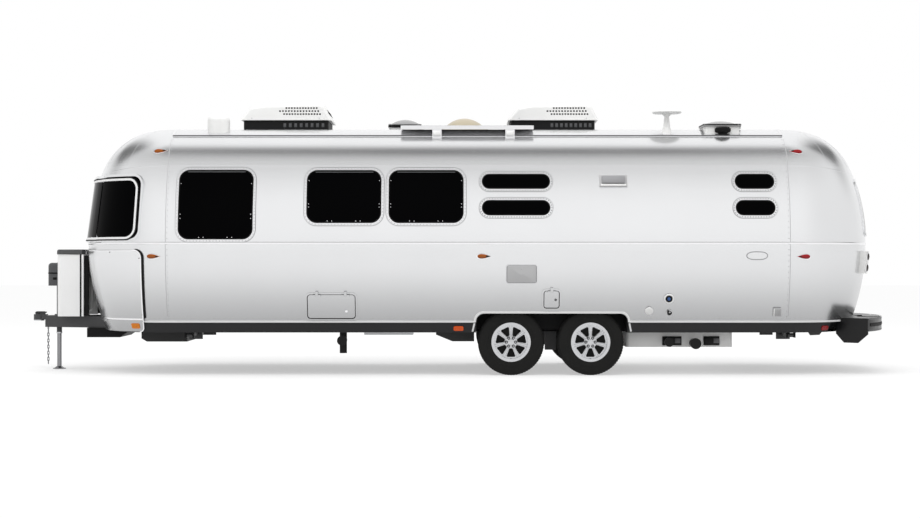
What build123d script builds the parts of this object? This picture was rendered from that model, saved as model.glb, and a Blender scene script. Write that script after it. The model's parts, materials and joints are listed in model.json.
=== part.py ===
"""Travel caravan: a rounded aluminium shell on a steel chassis with two torsion axles.

Millimetres, +Z up. The origin is on the ground under the middle of the caravan, the hitch points to -X,
and the road side, with the service hatches, faces -Y. The entry door and the awning are on the curb side, +Y.
"""

from build123d import *
from math import asin, atan2, cos, degrees, hypot, radians, sin, sqrt
import os

# ---- shell: a section that is the same inset all round a plan of tangent arcs ----
half_width = 1289.0            # at the belt line
belt_z = 1395.0
belt_front_x = -4098.0
belt_rear_x = 4516.0
shell_bottom_z = 560.0
crown_turn = 90.0              # degrees: the roof is level at the crown
wall = 45.0                    # skins, ribs and lining together
low_radius = 2350.0            # below the belt
high_radius = 2115.0           # from the belt up
high_lean = 22.9               # degrees from vertical where the brow begins
brow_radius = 686.0
brow_lean = 86.0
corner_radius = 960.0          # plan arc from broadside
corner_turn = 60.0             # degrees of plan turned by it before the nose arc
roof_joint_z = 2540.0          # side walls meet the roof under the drip rail

# ---- chassis and running gear ----
rail_top_z = 598.0
rail_height = 127.0
rail_width = 60.0
rail_y = 560.0                 # centre of each main rail
rail_front_x = -3650.0
rail_rear_x = 4150.0
floor_thickness = 22.0
belly_z = 452.0
belly_thickness = 5.0
belly_x = (-3500.0, 4200.0)
skirt_bottom_z = 452.0
skirt_thickness = 22.0
skirt_set_back = 2.0
skirt_inner = skirt_set_back + skirt_thickness
axle_xs = (561.0, 1401.0)
axle_lead = 150.0              # pivot ahead of the wheel centre
axle_tube_z = 425.0
axle_tube = 84.0
tyre_face_y = half_width - 177.0    # outer sidewall
arm_y = (tyre_face_y - 277.0, tyre_face_y - 244.0)
wheel_radius = 350.0
tyre_width = 215.0
tyre_sides = 54                # flats round the tyre
bead_draw = 27.0               # how far the bead lies inside the sidewall
bead_radius = 192.0
tread_half = 82.0
shoulder_radius = 330.0
shoulder_draw = 6.5            # how far the shoulder lies inside the sidewall
widest_radius = 290.0
rim_flange_radius = 207.0
flange_gap = 1.0               # between the rim's flange and the tyre
arch_x = (190.0, 1790.0)
arch_top_z = 655.0
arch_corner = 90.0
well_top_z = 748.0
well_inner_y = half_width - 519.0
well_sheet = 8.0
well_bottom_z = 470.0

# ---- hitch ----
socket_x = -4690.0
socket_radius = 30.0           # takes the common 58.7 mm ball
coupler_z = (540.0, 623.0)
coupler_half = 44.0
a_frame_front_x = -4600.0
a_frame_spread_x = -3000.0     # where the beams meet the rails
a_frame_front_y = 45.0
beam_width = 76.0
jack_pad_x = (944.0, 1063.0)   # pads between the axles
jack_pad_z = 245.0
jack_pad_half = 60.0
jack_x = -4463.0
jack_tube_radius = 29.0
jack_leg_radius = 25.0
jack_tube_z = (400.0, 930.0)
jack_head = (120.0, 46.0, 62.0)    # ahead of the leg, behind it, to each side
jack_head_top_z = 1186.0
jack_foot_radius = 72.0

# ---- gaps ----
seat_gap = 0.3                 # between a piece and its seat
swing_gap = 8.0                # round a door or a hatch
pin_gap = 0.08                 # shaft in its bore


def unit(angle):
    """Direction in the (inset, height) plane at a lean from vertical, in degrees."""
    return -cos(radians(angle)), sin(radians(angle))


def section_arcs():
    """Outer section from below the floor to the crown: (centre inset, centre z, radius, lean from, lean to)."""
    high_end = (high_radius * (1 + unit(high_lean)[0]), belt_z + high_radius * unit(high_lean)[1])
    brow = tuple(high_end[i] - brow_radius * unit(high_lean)[i] for i in (0, 1))
    brow_end = tuple(brow[i] + brow_radius * unit(brow_lean)[i] for i in (0, 1))
    crown_radius = (corner_radius - brow_end[0]) / cos(radians(brow_lean))
    crown = tuple(brow_end[i] - crown_radius * unit(brow_lean)[i] for i in (0, 1))
    return [
        (low_radius, belt_z, low_radius, -60.0, 0.0),
        (high_radius, belt_z, high_radius, 0.0, high_lean),
        (*brow, brow_radius, high_lean, brow_lean),
        (*crown, crown_radius, brow_lean, crown_turn),
    ]


SECTION = section_arcs()
crown_z = SECTION[3][1] + SECTION[3][2]
nose_radius = (half_width - corner_radius + corner_radius * cos(radians(corner_turn))) / cos(radians(corner_turn))
cap_depth = corner_radius * sin(radians(corner_turn)) + nose_radius * (1 - sin(radians(corner_turn)))
seam_front_x = belt_front_x + cap_depth
seam_rear_x = belt_rear_x - cap_depth
corner_y = half_width - corner_radius


def inset_at(z, depth=0.0):
    """Inset of the section from the belt line at a height, for a skin that much below the outer one."""
    for centre_d, centre_z, radius, lean_from, lean_to in SECTION:
        r = radius - depth
        if centre_z + r * sin(radians(lean_from)) <= z <= centre_z + r * sin(radians(lean_to)) + 1e-9:
            return centre_d - sqrt(r * r - (z - centre_z) ** 2)
    return corner_radius


def skin_chain(depth, z_low, z_high):
    """The section's arcs at a depth, cut to a height range, each as its (inset, z) start, middle and end."""
    chain = []
    for centre_d, centre_z, radius, lean_from, lean_to in SECTION:
        r = radius - depth
        start, end = radians(lean_from), radians(lean_to)
        if z_low > centre_z + r * sin(start):
            start = asin(min(1.0, (z_low - centre_z) / r))
        if z_high is not None and z_high < centre_z + r * sin(end):
            end = asin(max(-1.0, (z_high - centre_z) / r))
        if end - start > 1e-6:
            chain.append([(centre_d - r * cos(a), centre_z + r * sin(a)) for a in (start, (start + end) / 2, end)])
    return chain


def band_face(place, depth_out, depth_in, z_low, z_high=None):
    """Face between two skins of the section. place(inset, z) gives a 3-D point."""
    outer = skin_chain(depth_out, z_low, z_high)
    inner = skin_chain(depth_in, z_low, z_high)
    edges = [ThreePointArc(*(place(*p) for p in arc)) for arc in outer + inner]
    edges.append(Line(place(*outer[-1][2]), place(*inner[-1][2])))
    edges.append(Line(place(*outer[0][0]), place(*inner[0][0])))
    return Face(Wire(edges))


def side_band(side, x_from, x_to, depth_out, depth_in, z_low, z_high=None):
    """A stretch of straight side wall or roof shoulder. side is -1 for road, +1 for curb."""
    face = band_face(lambda d, z: Vector(x_from, side * (half_width - d), z), depth_out, depth_in, z_low, z_high)
    return extrude(face, amount=x_to - x_from, dir=(1, 0, 0))


def body_face(place, depth, z_low, z_high, back):
    """Face of everything inside a skin of the section, back to a given inset."""
    chain = skin_chain(depth, z_low, z_high)
    edges = [ThreePointArc(*(place(*p) for p in arc)) for arc in chain]
    corners = [chain[-1][2], (back, chain[-1][2][1]), (back, chain[0][0][1]), chain[0][0]]
    return Face(Wire(edges + Polyline(*(place(*p) for p in corners)).edges()))


def side_body(side, x_from, x_to, z_low, z_high=None, depth=0.0):
    """Everything inside one side of the shell, from the skin to the middle."""
    face = body_face(lambda d, z: Vector(x_from, side * (half_width - d), z), depth, z_low, z_high, half_width)
    return extrude(face, amount=x_to - x_from, dir=(1, 0, 0))


def plan_arcs(end):
    """Plan arcs of one end from the road side round to the curb side: (from, to, centre x, centre y, radius)."""
    facing, seam = (-1, seam_front_x) if end == "front" else (1, seam_rear_x)
    nose_x = seam + facing * (cap_depth - nose_radius)
    return [
        (0.0, corner_turn, seam, -corner_y, corner_radius),
        (corner_turn, 180.0 - corner_turn, nose_x, 0.0, nose_radius),
        (180.0 - corner_turn, 180.0, seam, corner_y, corner_radius),
    ]


def end_sweep(end, turn_from, turn_to, face_of):
    """Revolves face_of(place, reach) round one end between two plan turns, 0 at the road side, 90 dead ahead."""
    solids = []
    for arc_from, arc_to, cx, cy, reach in plan_arcs(end):
        low, high = max(arc_from, turn_from), min(arc_to, turn_to)
        if high - low < 1e-6:
            continue
        start = radians(270.0 - high if end == "front" else 270.0 + low)

        def place(inset, z):
            u = reach - inset
            return Vector(cx + u * cos(start), cy + u * sin(start), z)

        axis = Axis((cx, cy, 0), (0, 0, 1))
        solids.append(revolve(face_of(place, reach), axis=axis, revolution_arc=high - low))
    return fuse(solids)


def fuse(shapes):
    """One shape from several."""
    whole = shapes[0]
    for shape in shapes[1:]:
        whole = whole + shape
    return whole


def end_band(end, depth_out, depth_in, z_low, z_high=None, turn_from=0.0, turn_to=180.0):
    """A stretch of an end cap between two skins."""
    def section(place, reach):
        return band_face(place, depth_out, depth_in, z_low, z_high)

    return end_sweep(end, turn_from, turn_to, section)


def end_body(end, z_low, z_high, turn_from, turn_to, depth=0.0):
    """Everything inside an end cap's skin, for some way back."""
    return end_sweep(end, turn_from, turn_to, lambda place, reach: body_face(place, depth, z_low, z_high, 600.0))


def end_sector(end, turn_from, turn_to, z_low, z_high, corner, back=400.0, front=150.0):
    """A cutter through an end cap: a rounded rectangle in turn and height. It lies within one plan arc."""
    def rectangle(place, reach):
        corners = [place(back, z_low), place(-front, z_low), place(-front, z_high), place(back, z_high)]
        return Face(Wire(Polyline(*corners, close=True).edges()))

    sector = end_sweep(end, turn_from, turn_to, rectangle)
    return fillet(sector.edges().filter_by(GeomType.LINE).filter_by(Axis.Z, reverse=True), corner)


def block(xs, ys, zs):
    """A box between two x, two y and two z values."""
    size = [b - a for a, b in (xs, ys, zs)]
    centre = [(a + b) / 2 for a, b in (xs, ys, zs)]
    return Pos(*centre) * Box(*size)


def side_prism(xs, zs, corner, ys):
    """A rounded rectangle in the XZ plane, run along Y."""
    width, height = xs[1] - xs[0], zs[1] - zs[0]
    plane = Plane(origin=((xs[0] + xs[1]) / 2, ys[0], (zs[0] + zs[1]) / 2), x_dir=(1, 0, 0), z_dir=(0, 1, 0))
    radius = min(corner, width / 2 - 0.5, height / 2 - 0.5)
    return extrude(plane * RectangleRounded(width, height, radius), amount=ys[1] - ys[0])


def side_patch(side, xs, zs, corner, depth_out, depth_in, grow=0.0):
    """A rounded rectangular patch of a side wall between two skins."""
    xs, zs = (xs[0] - grow, xs[1] + grow), (zs[0] - grow, zs[1] + grow)
    ys = (0.0, half_width + 200.0) if side > 0 else (-half_width - 200.0, 0.0)
    band = side_band(side, xs[0] - 1, xs[1] + 1, depth_out, depth_in, zs[0] - 20, zs[1] + 20)
    return band & side_prism(xs, zs, corner + grow, ys)


def side_cut(side, xs, zs, corner, grow=0.0):
    """The prism that cuts such a patch out of its wall."""
    xs, zs = (xs[0] - grow, xs[1] + grow), (zs[0] - grow, zs[1] + grow)
    ys = (half_width - 700.0, half_width + 200.0)
    return side_prism(xs, zs, corner + grow, ys if side > 0 else (-ys[1], -ys[0]))


def cylinder(start, end, radius):
    """A round bar between two points."""
    start, end = Vector(*start), Vector(*end)
    return extrude(Plane(origin=start, z_dir=end - start) * Circle(radius), amount=(end - start).length)


def tube(start, end, radius, bore):
    """A round tube between two points."""
    return cylinder(start, end, radius) - cylinder(start, end, bore)


# ---- windows, hatches and doors: side, x from, x to, z from, z to, corner radius ----
ROAD, CURB = -1, 1
SIDE_WINDOWS = [
    (ROAD, -2924, -2142, 1432, 2166, 110),
    (ROAD, -1584, -801, 1603, 2163, 110),
    (ROAD, -725, 60, 1603, 2163, 110),
    (ROAD, 250, 967, 1962, 2123, 80),
    (ROAD, 250, 967, 1683, 1845, 80),
    (ROAD, 2903, 3319, 1962, 2123, 80),
    (ROAD, 2903, 3319, 1683, 1845, 80),
    (CURB, -2924, -2142, 1432, 2166, 110),
    (CURB, -200, 583, 1603, 2163, 110),
    (CURB, 900, 1683, 1603, 2163, 110),
    (CURB, 2903, 3319, 1962, 2123, 80),
    (CURB, 2903, 3319, 1683, 1845, 80),
]
window_rim = 26.0              # width of the frame outside the glass
window_proud = 12.0
glass_thickness = 10.0

# end windows: end, turn from, turn to, z from, z to, corner radius
FRONT_WINDOWS = [(18.0, 57.0), (63.0, 117.0), (123.0, 162.0)]
front_window_z = (1440.0, 2100.0)
front_window_corner = 95.0
front_glass_lift = (22.0, 54.0)   # how far the pane stands off the shell at its foot and its head
front_frame_turn = 1.3            # degrees of frame beyond the glass
front_frame_rim = 26.0            # and millimetres above and below it
rear_window_turn = (69.0, 111.0)
rear_window_z = (1500.0, 2080.0)

door_x = (-1150.0, -470.0)
door_z = (600.0, 2340.0)
door_corner = 140.0
door_glass_x = (-985.0, -635.0)
door_glass_z = (1480.0, 2090.0)
door_rebate = (7.0, 18.0)         # outer layer, and how far the inner one stops short at the free edge
DOOR_HINGE_Z = [1050.0, 1395.0, 1740.0]
trim_proud = 8.0
trim_width = 20.0

hinge_radius = 7.0             # barrel
hinge_pin = 3.5
hinge_leaf = 5.0
hinge_foot = 12.0
hinge_width = 84.0

# hatches on the road side: x from, x to, z from, z to, corner radius, hinge offsets from the middle
HATCHES = {
    "storage_hatch": (-1575.0, -1081.0, 606.0, 850.0, 30.0, (-150.0, 150.0)),
    "service_hatch": (906.0, 1058.0, 717.0, 889.0, 22.0, (0.0,)),
}
hatch_thickness = 16.0
hatch_axis_proud = trim_proud + 5.0 + hinge_radius


def hinge(origin, toward, outward, lid_reach, lid_drop, frame_reach, frame_drop):
    """A pinned hinge's frame half and lid half. Feet stand at a reach from the pin and drop to their seats."""
    toward, outward = Vector(*toward).normalized(), Vector(*outward).normalized()
    plane = Plane(origin=Vector(*origin), x_dir=toward.cross(outward), z_dir=outward)
    third = hinge_width / 3

    def knuckle(xs, side, reach, drop):
        barrel = cylinder((xs[0], 0, 0), (xs[1], 0, 0), hinge_radius)
        arm = block(xs, sorted((0.0, side * reach)), (hinge_radius - hinge_leaf, hinge_radius))
        foot = block(xs, sorted((side * (reach - hinge_foot), side * reach)), (-drop, hinge_radius))
        return fuse([barrel, arm, foot])

    pin = cylinder((-hinge_width / 2, 0, 0), (hinge_width / 2, 0, 0), hinge_pin)
    bore = cylinder((-hinge_width, 0, 0), (hinge_width, 0, 0), hinge_pin + pin_gap)
    outer = [knuckle(sorted((s * (third / 2 + 1), s * hinge_width / 2)), 1, lid_reach, lid_drop) for s in (-1, 1)]
    frame = knuckle((-third / 2, third / 2), -1, frame_reach, frame_drop) + pin
    return plane * frame, plane * (fuse(outer) - bore)


def hatch_plane(row):
    """The plane that touches the skin at a hatch's middle, X along the caravan and Z outwards."""
    x0, x1, z0, z1 = row[:4]
    z = (z0 + z1) / 2
    lean = asin((belt_z - z) / low_radius)
    origin = ((x0 + x1) / 2, inset_at(z) - half_width, z)
    return Plane(origin=origin, x_dir=(1, 0, 0), z_dir=(0, -cos(lean), -sin(lean)))


def hatch_height(row):
    """A hatch's height along the skin."""
    return (row[3] - row[2]) / -hatch_plane(row).z_dir.Y


def hatch_prism(row, grow=0.0):
    """The rounded prism through the wall on a hatch's outline."""
    outline = RectangleRounded(row[1] - row[0] + 2 * grow, hatch_height(row) + 2 * grow, row[4] + grow)
    return Pos(0, 0, 0) * extrude(hatch_plane(row) * outline, amount=150.0, both=True)


def hatch_band(row, depth_out, depth_in):
    """The stretch of wall that a hatch and its trim lie in."""
    return side_band(ROAD, row[0] - 100, row[1] + 100, depth_out, depth_in, row[2] - 80, row[3] + 80)


def hatch_hinges(row):
    """A hatch's hinges along its top edge, as frame and lid halves."""
    plane, rise = hatch_plane(row), hatch_height(row) / 2 + swing_gap / 2
    up, out = plane.y_dir, plane.z_dir
    reach = swing_gap / 2 + hinge_foot + 2
    frame_reach = swing_gap / 2 + trim_width + hinge_foot + 2
    skin = side_body(ROAD, row[0] - 50, row[1] + 50, row[2] - 50, row[3] + 150)
    made = []
    for offset in row[5]:
        origin = plane.origin + Vector(offset, 0, 0) + up * rise + out * hatch_axis_proud
        frame, lid = hinge(origin, -up, out, reach, hatch_axis_proud + 10, frame_reach, hatch_axis_proud + 30)
        made.append((frame - skin, lid))
    return made


def hatch_trim(row):
    """A hatch's raised surround with the frame halves of its hinges."""
    ring = hatch_band(row, -trim_proud, 0.0) & hatch_prism(row, swing_gap + trim_width)
    return [ring - hatch_prism(row, swing_gap)] + [frame for frame, lid in hatch_hinges(row)]


def hatch_lid(row):
    """A hatch with the lid halves of its hinges."""
    panel = hatch_band(row, 0.0, hatch_thickness) & hatch_prism(row)
    return fuse([panel] + [lid for frame, lid in hatch_hinges(row)])


def window_ring(side, xs, zs, corner):
    """A window's frame: a flat ring bedded on the wall."""
    ring = side_patch(side, xs, zs, corner, -window_proud, 0.0, window_rim)
    return ring - side_cut(side, xs, zs, corner)


def window_pane(side, xs, zs, corner):
    """A pane set inside its frame and its hole."""
    return side_patch(side, xs, zs, corner, 2.0 - glass_thickness, 2.0, -seat_gap)


def shell_wall(side):
    """One side wall, cut for its windows, its hatches or door and its wheel arch."""
    panel = side_band(side, seam_front_x, seam_rear_x, 0.0, wall, shell_bottom_z, roof_joint_z)
    for where, x0, x1, z0, z1, corner in SIDE_WINDOWS:
        if where == side:
            panel -= side_cut(side, (x0, x1), (z0, z1), corner)
    panel -= side_cut(side, arch_x, (shell_bottom_z - 300, arch_top_z), arch_corner)
    if side == ROAD:
        for row in HATCHES.values():
            panel -= hatch_prism(row, swing_gap)
    else:
        panel -= side_cut(side, door_x, door_z, door_corner, swing_gap)
    return panel


def shell_roof():
    """The roof between the drip rails: two shoulders and the flat crown between them."""
    shoulders = [side_band(side, seam_front_x, seam_rear_x, 0.0, wall, roof_joint_z) for side in (ROAD, CURB)]
    crown = block((seam_front_x, seam_rear_x), (-corner_y, corner_y), (crown_z - wall, crown_z))
    return fuse([crown] + shoulders)


def crown_patch(end):
    """The flat crown of an end cap, inside the arcs."""
    _, _, cx, _, radius = plan_arcs(end)[1]
    facing, seam = (-1, seam_front_x) if end == "front" else (1, seam_rear_x)
    tip = cx + facing * (radius - corner_radius)
    ends = Vector(seam, -corner_y, crown_z - wall), Vector(seam, corner_y, crown_z - wall)
    outline = Wire([ThreePointArc(ends[0], Vector(tip, 0, crown_z - wall), ends[1]), Line(ends[1], ends[0])])
    return extrude(Face(outline), amount=wall, dir=(0, 0, 1))


def shell_cap(end):
    """One end cap with its windows cut."""
    cap = end_band(end, 0.0, wall, shell_bottom_z) + crown_patch(end)
    if end == "front":
        for turns in FRONT_WINDOWS:
            cap -= end_sector(end, *turns, *front_window_z, front_window_corner)
        cap -= fuse(drawbar_beams(2 * seat_gap))
    else:
        cap -= end_sector(end, *rear_window_turn, *rear_window_z, front_window_corner)
    return cap


def front_frame(turns):
    """A front window's frame, filling the space between the shell and the plane of the pane."""
    if turns[1] < 90.0:
        return mirror(front_frame((180.0 - turns[1], 180.0 - turns[0])), about=Plane.XZ)
    z0, z1 = front_window_z[0] - front_frame_rim, front_window_z[1] + front_frame_rim

    def section(place, reach):
        chain = skin_chain(0.0, z0, z1)
        arcs = [ThreePointArc(*(place(*p) for p in arc)) for arc in chain]
        foot, head = chain[0][0], chain[-1][2]
        foot_out = (foot[0] - front_glass_lift[0], foot[1])
        head_out = (head[0] - front_glass_lift[1], head[1])
        rim = [Line(place(*foot), place(*foot_out)), Line(place(*foot_out), place(*head_out))]
        return Face(Wire(arcs + rim + [Line(place(*head_out), place(*head))]))

    body = end_sweep("front", turns[0] - front_frame_turn, turns[1] + front_frame_turn, section)
    outline = end_sector("front", turns[0] - front_frame_turn, turns[1] + front_frame_turn, z0, z1,
                         front_window_corner + front_frame_rim)
    return body & (outline - end_sector("front", *turns, *front_window_z, front_window_corner))


def front_pane(turns):
    """A front pane: conical glass just inside the frame's outer face."""
    slack = 0.02
    z0, z1 = front_window_z[0] + seat_gap, front_window_z[1] - seat_gap

    def section(place, reach):
        foot = inset_at(z0) - front_glass_lift[0] + 3.0
        head = inset_at(z1) - front_glass_lift[1] + 3.0
        corners = [(foot, z0), (head, z1), (head + glass_thickness, z1), (foot + glass_thickness, z0)]
        return Face(Wire(Polyline(*(place(*p) for p in corners), close=True).edges()))

    body = end_sweep("front", turns[0] + slack, turns[1] - slack, section)
    return body & end_sector("front", turns[0] + slack, turns[1] - slack, z0, z1, front_window_corner)


def rear_frame():
    """The rear window's frame, a ring bedded on the cap."""
    turns = (rear_window_turn[0] - 1.0, rear_window_turn[1] + 1.0)
    zs = (rear_window_z[0] - window_rim, rear_window_z[1] + window_rim)
    outline = end_sector("rear", *turns, *zs, front_window_corner + window_rim)
    hole = end_sector("rear", *rear_window_turn, *rear_window_z, front_window_corner)
    return (end_band("rear", -window_proud, 0.0, *zs, *turns) & outline) - hole


def rear_pane():
    """The rear pane, set inside its frame and its hole."""
    slack = 0.02
    turns = (rear_window_turn[0] + slack, rear_window_turn[1] - slack)
    zs = (rear_window_z[0] + seat_gap, rear_window_z[1] - seat_gap)
    band = end_band("rear", 2.0 - glass_thickness, 2.0, *zs, *turns)
    return band & end_sector("rear", *turns, *zs, front_window_corner)


def plan_face(inset, z):
    """The plan outline moved inwards by an inset, as a face at a height."""
    edges = []
    for end, facing in (("front", 1), ("rear", -1)):
        for arc_from, arc_to, cx, cy, reach in plan_arcs(end):
            turns = [arc_from, (arc_from + arc_to) / 2, arc_to]
            angles = [radians(270.0 - facing * t) for t in turns]
            points = [Vector(cx + (reach - inset) * cos(a), cy + (reach - inset) * sin(a), z) for a in angles]
            edges.append(ThreePointArc(*points))
    for side in (ROAD, CURB):
        y = side * (half_width - inset)
        edges.append(Line((seam_front_x, y, z), (seam_rear_x, y, z)))
    return Face(Wire(edges))


def wheel_well_space(grow=0.0):
    """The two box-shaped spaces over the wheels."""
    xs = (arch_x[0] - grow, arch_x[1] + grow)
    return [
        block(xs, sorted((side * (well_inner_y - grow), side * (half_width + 100))), (0, well_top_z + grow))
        for side in (ROAD, CURB)
    ]


def floor_deck():
    """The floor inside the shell's foot."""
    clear = inset_at(rail_top_z, wall) + seat_gap
    deck = extrude(plan_face(clear, rail_top_z), amount=floor_thickness, dir=(0, 0, 1))
    return deck - fuse(wheel_well_space(seat_gap))


def belly_pan():
    """The closed underside, open round the axle tubes."""
    clear = inset_at(belly_z, skirt_inner) + seat_gap
    pan = extrude(plan_face(clear, belly_z), amount=belly_thickness, dir=(0, 0, 1))
    pan -= fuse(wheel_well_space(seat_gap))
    for x in axle_xs:
        pan -= block((x - axle_lead - 70, x - axle_lead + 70), (-900, 900), (0, 1000))
    pads_y = rail_y + jack_pad_half + seat_gap
    pan -= block((jack_pad_x[0] - seat_gap, jack_pad_x[1] + seat_gap), (-pads_y, pads_y), (0, 1000))
    return pan & block(belly_x, (-2000, 2000), (0, 1000))


def skirt():
    """The dark band under the shell, broken at the wheels."""
    z_low, z_high = skirt_bottom_z, shell_bottom_z - seat_gap
    pieces = [side_band(side, seam_front_x, seam_rear_x, skirt_set_back, skirt_inner, z_low, z_high)
              for side in (ROAD, CURB)]
    for end, turned in (("rear", 38.0), ("front", 50.0)):
        for turn in (0.0, 180.0 - turned):
            pieces.append(end_band(end, skirt_set_back, skirt_inner, z_low, z_high, turn, turn + turned))
    return fuse(pieces) - fuse(wheel_well_space())


def wheel_wells():
    """Sheet boxes over the wheels, open below and outwards."""
    wells = []
    for side in (ROAD, CURB):
        outer = block(arch_x, sorted((side * well_inner_y, side * half_width)), (well_bottom_z, well_top_z))
        inner = block((arch_x[0] + well_sheet, arch_x[1] - well_sheet),
                      sorted((side * (well_inner_y + well_sheet), side * (half_width + 100))),
                      (0, well_top_z - well_sheet))
        xs, zs = (arch_x[0] - 10, arch_x[1] + 10), (well_bottom_z - 50, well_top_z + 50)
        beyond = side_band(side, *xs, -250.0, wall + seat_gap, *zs)
        wells.append(outer - inner - beyond)
    return wells


def drawbar_beams(grow=0.0):
    """The two beams that run together from the rails to the coupler."""
    beams = []
    low = rail_top_z - rail_height - grow
    for side in (ROAD, CURB):
        start, end = Vector(a_frame_front_x, side * a_frame_front_y, 0), Vector(a_frame_spread_x, side * rail_y, 0)
        along = (end - start).normalized()
        across = Vector(-along.Y, along.X, 0) * (beam_width / 2 + grow)
        corners = [start - across - along * 20, end - across, end + across, start + across - along * 20]
        outline = Polyline(*[Vector(c.X, c.Y, low) for c in corners], close=True)
        beam = extrude(make_face(outline.edges()), amount=rail_height + 2 * grow, dir=(0, 0, 1))
        beams.append(beam - block((a_frame_front_x - 200, a_frame_front_x), (-500, 500), (0, 1000)))
    return beams


CROSS_MEMBERS = 10
OUTRIGGER_X = [-2600.0, -1700.0, -60.0, 2050.0, 2900.0]
outrigger_y = half_width - 229.0


def chassis():
    """Ladder frame: main rails, cross members, outriggers, jacking pads and the drawbar beams."""
    zs = (rail_top_z - rail_height, rail_top_z)
    half = rail_width / 2
    span = rail_y - half
    pieces = [block((rail_front_x, rail_rear_x), sorted((side * span, side * (rail_y + half))), zs)
              for side in (ROAD, CURB)]
    pitch = (rail_rear_x - rail_front_x - 80) / (CROSS_MEMBERS - 1)
    for i in range(CROSS_MEMBERS):
        x = rail_front_x + 40 + i * pitch
        pieces.append(block((x - 25, x + 25), (-span, span), (zs[0] + 20, zs[1])))
    for x in OUTRIGGER_X:
        for side in (ROAD, CURB):
            pieces.append(block((x - 20, x + 20), sorted((side * span, side * outrigger_y)), (zs[1] - 80, zs[1])))
    pieces += drawbar_beams()
    pieces.append(block((a_frame_front_x, a_frame_front_x + 260), (-90, 90), (zs[0] + 4, zs[1] - 4)))
    for side in (ROAD, CURB):
        ys = sorted((side * (rail_y - jack_pad_half), side * (rail_y + jack_pad_half)))
        pieces.append(block(jack_pad_x, ys, (jack_pad_z, zs[0])))
    return fuse(pieces) - cylinder((jack_x, 0, 0), (jack_x, 0, 900), jack_tube_radius + seat_gap)


def coupler():
    """Ball coupler: a socket housing with a cupped mouth, a neck between the beams and a latch."""
    z0, z1 = coupler_z
    head = cylinder((socket_x, 0, z0), (socket_x, 0, z1 - 12), 58.0)
    neck = block((socket_x, a_frame_front_x - seat_gap), (-coupler_half, coupler_half), (z0 + 12, z1 - 12))
    latch = side_prism((socket_x - 40, socket_x + 70), (z1 - 14, z1 + 18), 14, (-16, 16))
    cup = cylinder((socket_x, 0, z0 - 1), (socket_x, 0, z0 + 42), socket_radius)
    dome = Pos(socket_x, 0, z0 + 42) * Sphere(socket_radius)
    return fuse([head, neck, latch]) - cup - dome


def jack_post():
    """Fixed part of the drawbar jack: its tube through the frame, and the power head."""
    low, top = jack_tube_z
    body = tube((jack_x, 0, low), (jack_x, 0, top), jack_tube_radius, jack_leg_radius + pin_gap)
    collar = tube((jack_x, 0, rail_top_z + seat_gap), (jack_x, 0, rail_top_z + 14), 52.0, jack_tube_radius - 0.5)
    ahead, behind, half = jack_head
    head = block((jack_x - ahead, jack_x + behind), (-half, half), (top, jack_head_top_z))
    head = fillet(head.edges().filter_by(Axis.Z), 55.0)
    head = fillet(head.faces().sort_by(Axis.Z)[-1].edges(), 40.0)
    return fuse([body, collar, head])


def jack_foot():
    """The jack's leg and its round foot, standing on the ground."""
    leg = cylinder((jack_x, 0, 8.0), (jack_x, 0, 520.0), jack_leg_radius)
    foot = cylinder((jack_x, 0, 0.0), (jack_x, 0, 9.0), jack_foot_radius)
    cone = Pos(jack_x, 0, 20.0) * Cone(60.0, jack_leg_radius, 24.0)
    return fuse([leg, foot, cone])


# ---- gas box on the drawbar ----
gas_x = (-4405.0, -4110.0)
gas_y = 370.0
gas_z = (rail_top_z, 1277.0)
gas_sheet = 10.0
gas_corner = 50.0
gas_lid_top = 1333.0
gas_hinge_x = gas_x[1] - 6.0
gas_hinge_z = gas_lid_top - 9.0
gas_lid_rear = gas_hinge_x - hinge_radius - 6.0
GAS_HINGE_Y = [-200.0, 200.0]
bottle_radius = 128.0
bottle_y = 185.0


def gas_outline(grow, z, rear):
    """Plan of the gas box: round front corners and a straight open back."""
    x0 = gas_x[0] - grow
    y = gas_y + grow
    outline = Pos((x0 + rear) / 2, 0, z) * Rectangle(rear - x0, 2 * y)
    corners = outline.vertices().sort_by(Axis.X)[:2]
    return fillet(corners, gas_corner + grow)


def gas_box():
    """The gas box's front, sides and rear rail, open above and below the rail, with the lid's hinges."""
    outer = extrude(gas_outline(0.0, gas_z[0] + seat_gap, gas_x[1]), amount=gas_z[1] - gas_z[0] - seat_gap)
    inner = extrude(gas_outline(-gas_sheet, 0.0, gas_x[1] + 50), amount=2000)
    rail = block((gas_x[1] - 12, gas_x[1]), (-gas_y, gas_y), (gas_z[1] - 40, gas_z[1]))
    return fuse([outer - inner, rail] + [frame for frame, lid in gas_hinges()])


def gas_hinges():
    """The gas lid's hinges, as frame and lid halves."""
    drop = gas_hinge_z - gas_z[1] + 5
    return [hinge((gas_hinge_x, y, gas_hinge_z), (-1, 0, 0), (0, 0, 1), 20, hinge_radius - 1, hinge_foot / 2, drop)
            for y in GAS_HINGE_Y]


def gas_lid():
    """The gas box's lid, a shallow domed tray."""
    z0 = gas_z[1] + 2.0
    lid = extrude(gas_outline(8.0, z0, gas_lid_rear), amount=gas_lid_top - z0)
    lid = fillet(lid.faces().sort_by(Axis.Z)[-1].edges().sort_by(Axis.X)[:-1], 22.0)
    hollow = extrude(gas_outline(-gas_sheet, z0 - 1, gas_lid_rear - 12), amount=gas_lid_top - z0 - 11)
    return fuse([lid - hollow] + [half for frame, half in gas_hinges()])


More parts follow.
